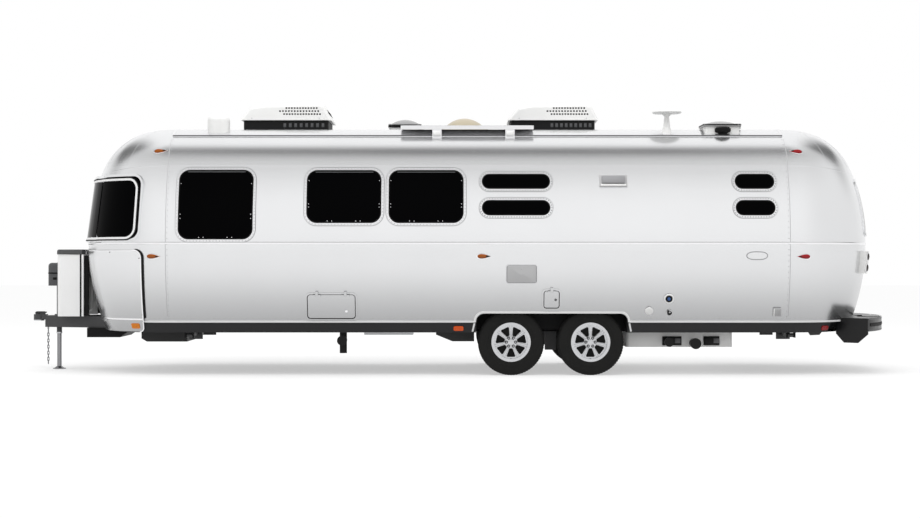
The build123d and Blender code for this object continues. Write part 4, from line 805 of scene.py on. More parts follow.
# ---- user sizes and colours ----
class StudioSettings(bpy.types.PropertyGroup):
    """The studio's light and paper."""

    key_power: FloatProperty(
        name="Key power", description="Power of the overhead lamp", default=420.0, unit="POWER")
    fill: FloatProperty(name="Fill", description="Strength of the surrounding light", default=1.0, min=0.0)
    paper: FloatVectorProperty(
        name="Paper", description="Colour of the floor", subtype="COLOR", default=(0.50, 0.50, 0.50))
    paper_glow: FloatProperty(
        name="Paper glow", description="White that the paper adds where it is seen", default=0.475, min=0.0)
    lens: FloatProperty(name="Lens", description="Focal length in millimetres", default=66.4, min=10.0)


class ShellSettings(bpy.types.PropertyGroup):
    """The shell's skin and its rivets."""

    skin: FloatVectorProperty(
        name="Skin", description="Colour of the aluminium", subtype="COLOR", default=(0.86, 0.865, 0.875))
    skin_roughness: FloatProperty(
        name="Skin roughness", description="How satin the skin is", default=0.24, min=0.0, max=1.0)
    rivet_pitch: FloatProperty(
        name="Rivet pitch", description="Spacing of the rivets", default=0.040, unit="LENGTH")
    rivet_radius: FloatProperty(
        name="Rivet radius", description="Radius of a rivet head", default=0.0042, unit="LENGTH")


class WheelSettings(bpy.types.PropertyGroup):
    """The wheels and tyres."""

    spokes: IntProperty(name="Spokes", description="Spokes in a wheel", default=7, min=3, max=12)
    tread_blocks: IntProperty(
        name="Tread blocks", description="Blocks round the tread", default=72, min=24, max=120)
    alloy: FloatVectorProperty(
        name="Alloy", description="Colour of the wheels", subtype="COLOR", default=(0.58, 0.585, 0.60))


class Step:
    """What every operator here shares."""

    bl_options = {"REGISTER", "UNDO"}


# where the camera stands, and the lamps: place, turn in degrees, size and share of the key's power
CAMERA_PLACE, CAMERA_TURN, SENSOR = (0.022, -19.0, 1.228), (90.0, 0.0, 0.0), 36.0
LAMPS = {
    "key": ((0.0, -4.5, 9.0), (28.0, 0.0, 0.0), (13.0, 5.0), 1.0),
    "back": ((0.0, 6.0, 8.0), (-38.0, 0.0, 0.0), (12.0, 4.0), 0.35),
}
PAPER_REACH = 60
# what the gloss sees overhead: shades of white by the height of a ray
CEILING = ((0.0, 1.0), (0.45, 1.0), (0.60, 0.88), (0.70, 0.74), (0.80, 0.64), (0.89, 0.52), (0.945, 0.26),
           (0.965, 0.06))


class CARAVAN_OT_stage(Step, bpy.types.Operator):
    """Sets up the paper, the lamps and the camera"""

    bl_idname = "caravan.stage"
    bl_label = "Studio"

    def execute(self, context):
        studio = context.scene.caravan_studio
        scene = context.scene
        scene.view_settings.view_transform = "Standard"
        camera = bpy.data.objects.new("camera", bpy.data.cameras.new("camera"))
        camera.data.lens = studio.lens
        camera.data.sensor_width = SENSOR
        camera.location = CAMERA_PLACE
        camera.rotation_euler = [math.radians(t) for t in CAMERA_TURN]
        camera.data.clip_end = 200.0
        scene.collection.objects.link(camera)
        scene.camera = camera

        self.lay_paper(scene, studio)
        self.light_world(scene, studio)
        for name, (place, turn, size, share) in LAMPS.items():
            lamp = bpy.data.lights.new(name, "AREA")
            lamp.shape = "RECTANGLE"
            lamp.size, lamp.size_y = size
            lamp.energy = studio.key_power * share
            holder = bpy.data.objects.new(name, lamp)
            holder.location = place
            holder.rotation_euler = [math.radians(t) for t in turn]
            holder.visible_glossy = False
            scene.collection.objects.link(holder)
        return {"FINISHED"}

    def seen(self, finish):
        """One where a camera, gloss or glass ray arrives, and nought for light that falls on the object."""
        kinds = ("Is Camera Ray", "Is Glossy Ray", "Is Transmission Ray")
        camera, gloss, glass = (finish.node("ShaderNodeLightPath", output=kind) for kind in kinds)
        return finish.clamp(camera + gloss + glass)

    def lay_paper(self, scene, studio):
        """A white floor that keeps the object's shadow."""
        paper = Finish("paper", Roughness=1.0, Specular_IOR_Level=0.0, Emission_Color=WHITE)
        grain = paper.noise(40.0)
        paper.feed("Base Color", paper.blend(grain, tone(studio.paper, 0.995), tone(studio.paper)))
        paper.feed("Emission Strength", self.seen(paper) * studio.paper_glow)
        mesh = bpy.data.meshes.new("paper")
        corners = [(PAPER_REACH * x, PAPER_REACH * y, 0) for x, y in ((-1, -1), (1, -1), (1, 1), (-1, 1))]
        mesh.from_pydata(corners, [], [(0, 1, 2, 3)])
        floor = bpy.data.objects.new("paper", mesh)
        mesh.materials.append(paper.material)
        scene.collection.objects.link(floor)

    def light_world(self, scene, studio):
        """White round the horizon and overhead, with a darker ceiling between for the gloss."""
        world = bpy.data.worlds.new("studio")
        scene.world = world
        world.use_nodes = True
        room = Shading(world.node_tree)
        way = room.node("ShaderNodeTexCoord", output=0)
        aside, depth, height = (room.part(way, axis) for axis in "XYZ")
        behind = room.ease(depth, 0.1, 0.5)
        stops = [(place, (shade, shade, shade, 1.0)) for place, shade in CEILING]
        ceiling = room.node("ShaderNodeValToRGB", {"stops": stops}, {0: height * (behind * 1.25 + 1.0)})
        beyond = room.ease(depth, -0.16, 0.10)
        middle = room.ease(aside * aside, 0.36, 0.09)
        ceiling = room.blend(beyond * middle, ceiling, WHITE)
        sides = room.ease(aside * aside, 0.12, 0.60)
        ceiling = room.blend(sides * 0.16, ceiling, (0.2, 0.2, 0.2, 1.0))
        gloss = room.node("ShaderNodeLightPath", output="Is Glossy Ray")
        background = room.tree.nodes["Background"]
        connect(room.tree, background.inputs["Color"], room.blend(gloss, WHITE, ceiling))
        connect(room.tree, background.inputs["Strength"], self.seen(room) * (1.0 - studio.fill) + studio.fill)


class CARAVAN_OT_finishes(Step, bpy.types.Operator):
    """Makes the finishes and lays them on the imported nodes"""

    bl_idname = "caravan.finishes"
    bl_label = "Finishes"

    def execute(self, context):
        shell = context.scene.caravan_shell
        wheels = context.scene.caravan_wheels
        for name, (make, *values) in PLAIN_FINISHES.items():
            FINISHES[name] = make(name, *values)
        FINISHES["aluminium_skin"] = metal_sheet("satin_aluminium", shell.skin, shell.skin_roughness)
        FINISHES["chassis_paint"] = paint("chassis_grey", (0.046, 0.046, 0.048), 0.46)
        FINISHES["alloy_wheel"] = bright_metal("alloy_wheel", wheels.alloy, 0.26)
        for row in FRAME["record"]["subparts"]:
            mesh = NODES[row["node"]].data
            mesh.materials.clear()
            mesh.materials.append(finish_of(OWN_FINISH.get(row["node"], row["material_slot"])))
        return {"FINISHED"}


# half width and rise of the belt's bead, and of the bars that trim the foot
BELT_BEAD, FOOT_BAR = (0.011, 0.0065), (0.010, 0.006)
ARCH_FOOT_Z, ARCH_MARGIN = 0.565, 0.012


class CARAVAN_OT_mouldings(Step, bpy.types.Operator):
    """Lays the belt moulding, the drip rails, the bottom trim and the wheel arches' trims"""

    bl_idname = "caravan.mouldings"
    bl_label = "Mouldings"

    def execute(self, context):
        self.belt()
        self.drip_rails()
        self.foot()
        self.arches()
        return {"FINISHED"}

    def belt(self):
        """The bead at the belt, all round but for the door, and the door's own stretch of it."""
        _, first, last, _, _, _ = DOOR
        first, last = first - 0.03, last + 0.03
        curb_wall = 1.0
        around = WALLS.round(BELT_Z)
        clear = [(p, n) for p, n in around if not (p.y > curb_wall and first < p.x < last)]
        cut = next(i for i, (p, _) in enumerate(clear) if p.y > curb_wall and p.x > last)
        belt, on_door = Mesh(), Mesh()
        bead(belt, clear[cut:] + clear[:cut], *BELT_BEAD)
        belt.piece("belt_moulding", SHELL, "bright_edge")
        stretch = level(DOOR[1] + 0.02, DOOR[2] - 0.01, 0.05, BELT_Z)
        bead(on_door, onto_side(SIDES, stretch, CURB), *BELT_BEAD)
        on_door.piece("belt_moulding_door", "door", "bright_edge")

    def drip_rails(self):
        """The rails at the eaves with the shadow under their lips, and the bars over the roof's seams."""
        drip, shade = Mesh(), Mesh()
        for side in (ROAD, CURB):
            path = onto_side(WALLS, level(SEAM_FRONT, SEAM_REAR, 0.12, DRIP_Z), side)
            run(drip, path, DRIP_LIP)
            bead(shade, [(p + n * 0.007, n) for p, n in path], 0.0085, 0.009)
        shade.piece("drip_rail_shadows", SHELL, "rail_grey")
        for x in (SEAM_FRONT, SEAM_REAR):
            bar(drip, [WALLS.top(x, y) for y in steps(-0.84, 0.84, 0.06)], 0.012, 0.003)
        drip.piece("drip_rails", SHELL, "bright_edge")

    def foot(self):
        """The bars round the foot of the shell, clear of the wheel arches."""
        foot = Mesh()
        runs = ((SEAM_FRONT, ARCH_X[0] - 0.01), (ARCH_X[1] + 0.01, SEAM_REAR))
        for side in (ROAD, CURB):
            for first, last in runs:
                bar(foot, onto_side(WALLS, level(first, last, 0.1, FOOT_TRIM_Z), side), *FOOT_BAR)
        for rear in (True, False):
            ends = (WALLS.end(turn, FOOT_TRIM_Z, rear) for turn in steps(0.0, 180.0, 4.0))
            for path in stretches(ends):
                bar(foot, path, *FOOT_BAR)
        foot.piece("bottom_trim", SHELL, "white_trim")

    def arches(self):
        """The bar round each wheel arch, and its two ends down the skirt."""
        arch = Mesh()
        spring = ARCH_TOP - ARCH_CORNER
        outline = [(ARCH_X[0], ARCH_FOOT_Z), (ARCH_X[0], spring)]
        for start, cx in ((180, ARCH_X[0] + ARCH_CORNER), (90, ARCH_X[1] - ARCH_CORNER)):
            for a in (math.radians(start - turn) for turn in range(10, 91, 10)):
                outline.append((cx + ARCH_CORNER * math.cos(a), spring + ARCH_CORNER * math.sin(a)))
        outline.append((ARCH_X[1], ARCH_FOOT_Z))
        wider = []
        for x, z in outline:
            out = ARCH_MARGIN if x > 1.0 else -ARCH_MARGIN
            wider.append((x + out, z + (ARCH_MARGIN if z > spring else 0.0)))
        for side in (ROAD, CURB):
            bar(arch, onto_side(WALLS, wider, side), 0.011, 0.005)
            for x, lean in ((ARCH_X[0] - 0.016, -0.030), (ARCH_X[1] + 0.016, 0.030)):
                down = [(x + lean * i / 6, 0.552 - 0.022 * i) for i in range(7)]
                bar(arch, onto_side(SKIRT, down, side), 0.009, 0.005)
        arch.piece("arch_trims", SHELL, "white_trim")


# height of the end caps' upper rivets, and the clear margin round an opening
CAP_ROW_Z, OPENING_MARGIN = 2.270, 0.05
# where the caps' rivets stop: beside the front panes, behind the guards, and round the rear pane
FRONT_CLEAR_Z, GUARD_CLEAR_Z, REAR_CLEAR = (1.37, 2.15), 1.34, (4.0, 0.55, 1.45)


class CARAVAN_OT_rivets(Step, bpy.types.Operator):
    """Sets the rivets of the seams, the mouldings and the window frames"""

    bl_idname = "caravan.rivets"
    bl_label = "Rivets"

    def execute(self, context):
        shell = context.scene.caravan_shell
        radius, rise, pitch = shell.rivet_radius, shell.rivet_radius * 0.42, shell.rivet_pitch
        places = []
        for side in (ROAD, CURB):
            for x in (SEAM_FRONT - 0.012, SEAM_FRONT + 0.014, SEAM_REAR - 0.014, SEAM_REAR + 0.012):
                column = onto_side(WALLS, upright(x, FOOT_ROW_Z, HEAD_ROW_Z, 0.04), side)
                places += evenly(column, pitch, False)
            for z in (BELT_ROW_Z, DRIP_Z - 0.030, FOOT_ROW_Z):
                row = onto_side(WALLS, level(SEAM_FRONT, SEAM_REAR, 0.06, z), side)
                places += evenly(row, pitch * 1.5, False)
        studs("seam_rivets", [(p, n) for p, n in places if not self.on_opening(p)], radius, rise)

        caps = []
        for rear in (False, True):
            for z in (BELT_ROW_Z, CAP_ROW_Z, FOOT_ROW_Z):
                for row in stretches(WALLS.end(turn, z, rear) for turn in steps(2.0, 178.0, 3.0)):
                    caps += evenly(row, pitch * 1.5, False)
        studs("cap_rivets", [(p, n) for p, n in caps if not self.under_window(p)], radius, rise)

        frames = []
        for side, x0, x1, z0, z1, corner in SIDE_WINDOWS:
            outline = flatten(rounded(x0, x1, z0, z1, corner, 0.013))
            frames += evenly(onto_side(FRAMES, outline, side), pitch * 0.62)
        studs("window_rivets", frames, radius * 0.8, rise * 0.8)
        return {"FINISHED"}

    def on_opening(self, point):
        """Whether a rivet would land on a window, a door, a hatch or a wheel arch."""
        arches = [(side, *ARCH_X, 0.0, ARCH_TOP, 0.0) for side in (ROAD, CURB)]
        clear = OPENING_MARGIN
        for side, x0, x1, z0, z1, _ in SIDE_WINDOWS + [DOOR, STORAGE, SERVICE] + arches:
            within = x0 - clear < point.x < x1 + clear and z0 - clear < point.z < z1 + clear
            if point.y * side > 0 and within:
                return True
        return False

    def under_window(self, point):
        """Whether a rivet would land on an end window or a stone guard."""
        if point.x < SEAM_FRONT - 0.15:
            return FRONT_CLEAR_Z[0] < point.z < FRONT_CLEAR_Z[1] or point.z < GUARD_CLEAR_Z
        near, half, low = REAR_CLEAR
        return point.x > near and abs(point.y) < half and point.z > low


# a window taller than this has a bright strip, latches and rivets further apart
TALL_WINDOW = 0.3


class CARAVAN_OT_windows(Step, bpy.types.Operator):
    """Adds the seals, painted shadow lines, lips, rivets, top strips and latches of the side windows"""

    bl_idname = "caravan.windows"
    bl_label = "Windows"

    def execute(self, context):
        seals, bright, latches, edges, lips = (Mesh() for _ in range(5))
        dots, fine = [], []
        for window in SIDE_WINDOWS:
            _, _, _, z0, z1, _ = window
            tall = z1 - z0 > TALL_WINDOW
            bar(seals, self.ring(PANES, window, -0.006), 0.006, 0.003, loop=True)
            if tall:
                self.furnish(window, bright, latches)
            # painted shadow: a grey bead round each frame's outer edge stands in for the shaded gap there
            bead(edges, self.ring(WALLS, window, 0.0285), 0.0032, 0.006, loop=True)
            bar(lips, self.ring(PANES, window, 0.0045), 0.0035, 0.003, loop=True)
            middle = self.ring(FRAMES, window, 0.0155)
            (dots if tall else fine).extend(evenly(middle, 0.034 if tall else 0.028))
        seals.piece("window_seals", SHELL, "seal_black")
        edges.piece("window_shadow_lines", SHELL, "ring_grey")
        lips.piece("window_lips", SHELL, "bright_edge")
        studs("window_rivets", dots, 0.0048, 0.0026, finish="ring_grey")
        studs("slim_window_rivets", fine, 0.0058, 0.0030, finish="rail_grey")
        bright.piece("window_strips", SHELL, "grey_moulding")
        latches.piece("window_latches", SHELL, "bright_edge")
        return {"FINISHED"}

    def ring(self, skin, window, grow):
        """A window's outline, grown or shrunk and laid on a skin."""
        return onto_side(skin, flatten(rounded(*window[1:], grow)), window[0])

    def furnish(self, window, bright, latches):
        """The strip at the head of a tall window, and the studs of its latches."""
        side, x0, x1, z0, z1, corner = window
        inset = 0.022
        strip = level(x0 + corner * 0.8, x1 - corner * 0.8, 0.05, z1 - inset)
        bar(bright, onto_side(PANES, strip, side), 0.004, 0.002)
        heights = [z0 + share * (z1 - z0) for share in (0.30, 0.36, 0.80)]
        spots = [(x, z) for x in (x0 + inset, x1 - inset) for z in heights]
        spots += [(x0 + share * (x1 - x0), z0 + inset) for share in (0.28, 0.34, 0.66, 0.72)]
        for point, normal in onto_side(PANES, spots, side):
            dome(latches, point, normal, 0.005, 0.003)


# a tyre's half section, as distances from its middle and radii: sidewall, then grooves
SIDEWALL = [(0.0805, BEAD_RADIUS), (0.0850, 0.200), (0.0900, 0.210), (0.0990, 0.228), (0.1045, 0.250),
            (0.1060, 0.252), (0.1060, 0.256), (0.1050, 0.258), (0.1065, 0.280), (0.1050, 0.300),
            (0.1020, 0.318), (0.0970, 0.330), (0.0900, 0.3395), (0.0780, 0.3435)]
GROOVES = [(0.052, 0.3445), (0.050, 0.3370), (0.042, 0.3370), (0.040, 0.3450), (0.012, 0.3455),
           (0.010, 0.3370)]
# rows of tread blocks: place across the tread, width, and shift in blocks
TREAD_ROWS = ((-0.066, 0.022, 0.0), (-0.026, 0.024, 0.5), (0.026, 0.024, 0.0), (0.066, 0.022, 0.5))
# turned profiles of a wheel's details, as distances outward and radii
HUB_CAP = [(-0.002, 0.034), (0.016, 0.0335), (0.0195, 0.029), (0.021, 0.018), (0.0215, 0.002)]
# a lug nut, and the dark disc round it: painted shade in its well
LUG_NUT, LUG_WELL_SHADE = [(-0.006, 0.0090), (0.012, 0.0090), (0.015, 0.006)], [(-0.004, 0.0165), (0.0030, 0.0160)]
LUG_COUNT, LUG_CIRCLE = 6, 0.048
RIM_LIP = [(-0.010, 0.1930), (0.0, 0.2080), (0.004, 0.2065), (0.003, 0.1960), (-0.006, 0.1880)]
# dark discs of painted shade: in the hub's well, and on the drum behind the spokes' windows
HUB_WELL_SHADE = [(-0.004, 0.060), (0.006, 0.058)]
DRUM_SHADE = [(-0.003, 0.0660), (0.0, 0.0660), (0.0, 0.1740), (-0.003, 0.1740)]
# the ribs along a spoke: radii and depths behind the hub's face
SPOKE_RIB = ((0.052, 0.004), (0.080, 0.008), (0.120, 0.013), (0.165, 0.012), (0.186, 0.008))


def in_wheel(turn):
    """Unit ways outward and onward in a wheel's plane, at a turn in radians."""
    return Vector((math.cos(turn), 0, math.sin(turn))), Vector((-math.sin(turn), 0, math.cos(turn)))


class CARAVAN_OT_wheels(Step, bpy.types.Operator):
    """Builds treaded tyres in place of the plain ones and details the imported spoked wheels"""

    bl_idname = "caravan.wheels"
    bl_label = "Wheels"

    def execute(self, context):
        wheels = context.scene.caravan_wheels
        for name, (x, side) in WHEELS.items():
            self.tyre(name, x, side, wheels.tread_blocks)
            self.dress_rim(name, x, side, wheels.spokes)
        return {"FINISHED"}

    def tyre(self, name, x, side, blocks):
        """A tyre with round shoulders, raised sidewall rings and a blocked tread."""
        centre = Vector((x, side * (TYRE_FACE_Y - TYRE_WIDTH / 2), WHEEL_RADIUS))
        right = SIDEWALL + GROOVES
        mesh = Mesh()
        lathe(mesh, centre, Y_AXIS, right + [(-a, r) for a, r in reversed(right)], sides=96, closed=True)
        for i in range(blocks):
            for y, width, shift in TREAD_ROWS:
                out, onward = in_wheel(2 * math.pi * (i + shift) / blocks)
                place = centre + out * (WHEEL_RADIUS - 0.0065) + Vector((0, y, 0))
                slab(mesh, place, onward, Y_AXIS, out, (0.021, width, 0.012), 0.0015)
        made = mesh.piece(f"tyre_{name}_treaded", f"wheel_{name}", "tyre_rubber")
        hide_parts(f"tyre_{name}")

    def dress_rim(self, name, x, side, spokes):
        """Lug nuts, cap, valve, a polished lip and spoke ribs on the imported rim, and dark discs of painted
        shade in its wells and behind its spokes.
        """
        out = Vector((0, side, 0))
        hub = Vector((x, side * (TYRE_FACE_Y - 0.049), WHEEL_RADIUS))
        mesh, dark = Mesh(), Mesh()
        lathe(mesh, hub, out, HUB_CAP, 32)
        for i in range(LUG_COUNT):
            place = hub + in_wheel(2 * math.pi * i / LUG_COUNT)[0] * LUG_CIRCLE
            lathe(mesh, place, out, LUG_NUT, 6)
            lathe(dark, place, out, LUG_WELL_SHADE, 20)
        lip = Vector((x, side * (TYRE_FACE_Y - 0.0225), WHEEL_RADIUS))
        lathe(mesh, lip, out, RIM_LIP, 72, closed=True)
        for i in range(spokes):
            along, across = in_wheel(2 * math.pi * i / spokes + math.pi / 2)
            path = [hub + along * radius - out * depth for radius, depth in SPOKE_RIB]
            for offset in (-0.011, 0.011):
                tube(mesh, [p + across * offset * (0.85 + 0.05 * k) for k, p in enumerate(path)], 0.0045, 8)
        # painted shade: a dark disc in the hub's well and a dark ring behind the spokes
        lathe(dark, hub - out * 0.010, out, HUB_WELL_SHADE, 32)
        behind = Vector((x, side * (DISC_BACK_Y - 0.003), WHEEL_RADIUS))
        lathe(dark, behind, out, DRUM_SHADE, 48, closed=True)
        valve = hub + Vector((0.0, 0.0, -0.176)) - out * 0.004
        tube(dark, [valve, valve + out * 0.022], 0.0042, 8)
        mesh.piece(f"wheel_{name}_bright", f"wheel_{name}", "alloy_wheel")
        dark.piece(f"wheel_{name}_dark", f"wheel_{name}", "seal_black")


# a chain: links in it and their pitch, half a link's width, its wire, bends and straights
LINK_COUNT, LINK_PITCH, LINK_HALF, WIRE = 11, 0.034, 0.013, 0.0048
LINK_BEND, LINK_STRAIGHT = 0.0088, 0.0120


class CARAVAN_OT_chains(Step, bpy.types.Operator):
    """Hangs round-wire safety chains in place of the flat-sided ones"""

    bl_idname = "caravan.chains"
    bl_label = "Safety chains"

    def execute(self, context):
        mesh = Mesh()
        low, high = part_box("safety_chains")
        for x, y in ((low.x + LINK_HALF, low.y + LINK_HALF), (high.x - LINK_HALF, high.y - LINK_HALF)):
            slab(mesh, (x, y, high.z - 0.013), X_AXIS, Y_AXIS, Z_AXIS, (0.018, 0.008, 0.026), 0.002)
            first = low.z + 0.0247
            for i in range(LINK_COUNT):
                flat = Vector(X_AXIS if (LINK_COUNT - 1 - i) % 2 else Y_AXIS)
                self.link(mesh, Vector((x, y, first + i * LINK_PITCH)), flat)
        made = mesh.piece("safety_chains_round", SHELL, "dull_zinc")
        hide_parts("safety_chains")
        return {"FINISHED"}

    def link(self, mesh, centre, flat):
        """One closed wire link, upright in the plane of a direction."""
        ring = []
        for a in (2 * math.pi * k / 24 for k in range(24)):
            rise = LINK_STRAIGHT if math.sin(a) > 0 else -LINK_STRAIGHT
            up = Vector((0, 0, LINK_BEND * math.sin(a) + rise))
            ring.append(centre + flat * LINK_BEND * math.cos(a) + up)
        middle = sum(ring, Vector()) / len(ring)
        points, sides = [], 8
        for i, point in enumerate(ring):
            tangent = (ring[(i + 1) % len(ring)] - ring[i - 1]).normalized()
            outward = (point - middle) - tangent * (point - middle).dot(tangent)
            outward.normalize()
            points += circle(point, outward, tangent.cross(outward), WIRE, sides)
        mesh.add_rings(points, sides, True)


# the mullions between the front panes: their turns, half width in degrees, and thickness
MULLION_TURNS, MULLION_HALF, MULLION_DEPTH = (60.0, 120.0), 2.9, 0.005


class CARAVAN_OT_front_windows(Step, bpy.types.Operator):
    """Trims the wrapped front windows and the rear window"""

    bl_idname = "caravan.front_windows"
    bl_label = "End windows"

    def execute(self, context):
        posts = Mesh()
        for middle in MULLION_TURNS:
            turns = steps(middle - MULLION_HALF, middle + MULLION_HALF, 0.58)
            sheet(posts, [self.mullion(turn) for turn in turns], MULLION_DEPTH)
        posts.piece("front_mullions", SHELL, "dark_glass")

        white, black = Mesh(), Mesh()
        bar(white, self.outline(20.6, 159.4, 1.446, 2.068, 0.110), 0.0125, 0.007, True)
        # painted shadow: a black line round the outside of the front windows' white trim
        bar(black, self.outline(19.2, 160.8, 1.430, 2.086, 0.130), 0.0065, 0.010, True)
        bar(white, self.outline(68.6, 111.4, 1.487, 2.093, 0.110, True), 0.008, 0.004, True)
        # the rear window's black line lies inside its trim: its seal
        bar(black, self.outline(69.4, 110.6, 1.508, 2.072, 0.090, True), 0.006, 0.003, True)
        white.piece("end_window_trims", SHELL, "white_trim")
        black.piece("end_window_seals_and_shadow_lines", SHELL, "seal_black")
        return {"FINISHED"}

    def mullion(self, turn):
        """A straight line up a mullion, from the frames' foot to their head."""
        ends = []
        for z, lift in zip((FRONT_Z[0] - 0.012, FRONT_Z[1] + 0.012), FRONT_LIFT):
            point, normal = WALLS.end(turn, z)
            outward = Vector((normal.x, normal.y, 0)).normalized()
            ends.append((point + outward * lift, outward))
        (foot, normal), (head, _) = ends
        return [(foot.lerp(head, 0.050 + 0.862 * i / 8), normal) for i in range(9)]

    def outline(self, first, last, low, high, corner, rear=False):
        """A rounded rectangle in plan turn and height, laid on an end's panes."""
        reach = 1.35 if rear else 0.96
        arc = math.degrees(corner / reach)
        left, right, top, foot = first + arc, last - arc, high - corner, low + corner
        path = level(left, right, 2.0, high) + self.bend(right, top, arc, corner, 90)
        path += upright(last, top, foot, 0.06) + self.bend(right, foot, arc, corner, 0)
        path += level(right, left, 2.0, low) + self.bend(left, foot, arc, corner, -90)
        path += upright(first, foot, top, 0.06) + self.bend(left, top, arc, corner, -180)
        return onto_end(PANES, path, rear)

    def bend(self, turn, z, arc, corner, start):
        """A quarter bend of an outline, without its two ends."""
        turns = [math.radians(start - 90 * k / 8) for k in range(1, 8)]
        return [(turn + arc * math.cos(a), z + corner * math.sin(a)) for a in turns]


# a guard's corner radii at its foot and head, its rib, its studs and its reflector's turns and heights
GUARD_CORNERS, GUARD_RIB_Z = (0.045, 0.085), 0.592
GUARD_STUDS = ((17.0, 1.235), (18.6, 0.640), (19.0, 0.570), (62.0, 1.300), (40.0, 1.300))
GUARD_PAD_TURNS, GUARD_PAD_Z = (22.4, 29.6), (0.494, 0.548)


class CARAVAN_OT_guards(Step, bpy.types.Operator):
    """Makes the stone guards with rounded corners, rims, studs, rubber and reflectors"""

    bl_idname = "caravan.guards"
    bl_label = "Stone guards"

    def execute(self, context):
        plates, trims, rubber_edge, reflectors = (Mesh() for _ in range(4))
        heights = self.heights()
        for place in (float, mirrored):  # the road side's guard, then the curb side's
            sheet(plates, [self.row(place, z) for z in heights], 0.0195, 0.0004)
            edge = [(self.rear_turn(z) + 0.4, z) for z in heights]
            edge += level(self.rear_turn(GUARD_Z[1]) + 1.0, GUARD_FRONT_TURN - 0.6, 3.0, GUARD_Z[1] - 0.008)
            bead(trims, [self.outer(place(t), z) for t, z in edge], 0.0065, 0.004)
            rib = level(self.rear_turn(GUARD_RIB_Z), GUARD_FRONT_TURN, 3.0, GUARD_RIB_Z)
            bead(trims, [self.outer(place(t), z) for t, z in rib], 0.011, 0.0075)
            gap = [(place(self.rear_turn(z) - 0.55), z) for z in heights if z > 0.575]
            bar(rubber_edge, onto_end(WALLS, gap), 0.0095, 0.018)
            for t, z in GUARD_STUDS:
                point, normal = self.outer(place(t), z)
                dome(rubber_edge, point, normal, 0.006, 0.004)
            turns = steps(*GUARD_PAD_TURNS, 0.6)
            pad = [[self.outer(place(t), z) for t in turns] for z in steps(*GUARD_PAD_Z, 0.009)]
            sheet(reflectors, round_off(pad), 0.006)
        made = plates.piece("stone_guards_formed", SHELL, "polished_sheet")
        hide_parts("stone_guards")
        trims.piece("guard_rims", SHELL, "bright_edge")
        rubber_edge.piece("guard_rubber", SHELL, "seal_black")
        reflectors.piece("guard_reflectors", SHELL, "amber_reflector")
        return {"FINISHED"}

    def heights(self):
        """Rows up a guard, close together round its corners."""
        (low, high), (foot, head) = GUARD_Z, GUARD_CORNERS
        arc = [1 - math.cos(math.radians(a)) for a in range(0, 91, 10)]
        middle = steps(low + 0.06, high - 0.10, 0.045)
        return [low + foot * a for a in arc] + middle + [high - head * a for a in reversed(arc)]

    def rear_turn(self, z):
        """Where a guard's rear edge is at a height, round at its corners."""
        inset = 0.0
        for corner, depth in zip(GUARD_CORNERS, (z - GUARD_Z[0], GUARD_Z[1] - z)):
            if depth < corner:
                inset = corner - math.sqrt(max(0.0, corner ** 2 - (corner - depth) ** 2))
        reach = (SEAM_FRONT - GUARDS.end(30.0, self.within(z))[0].x) / 0.5
        return math.degrees(math.asin((SEAM_FRONT - GUARD_REAR_X + inset) / reach))

    def within(self, z):
        """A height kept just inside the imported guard's edges."""
        return min(max(z, GUARD_Z[0] + 0.002), GUARD_Z[1] - 0.002)

    def row(self, place, z):
        """One row of a guard, from its rear edge to its front edge."""
        first = self.rear_turn(z)
        last = GUARD_FRONT_TURN
        return [self.outer(place(first + (last - first) * i / 27), z, -0.020) for i in range(28)]

    def outer(self, turn, z, lift=0.0):
        """A point on a guard's outer face, moved in or out."""
        low, high = (14.2, 68.8) if turn < 90 else (111.2, 165.8)
        a = min(max(turn, low), high)
        point, normal = GUARDS.end(a, self.within(z))
        return point + normal * lift, normal


# sizes of a marker lamp's bezel, lens and dark tail: length, width and rise
BEZEL, MARKER_LENS, MARKER_TAIL = ((0.158, 0.062), 0.006), ((0.142, 0.050), 0.026), ((0.062, 0.024), 0.024)
# profiles of a tail lamp's ring and glass
TAIL_RING = [(-0.004, 0.050), (0.006, 0.050), (0.010, 0.045), (0.009, 0.040), (-0.004, 0.039)]
TAIL_GLASS = [(-0.003, 0.0385), (0.011, 0.038), (0.017, 0.030), (0.021, 0.016), (0.022, 0.003)]


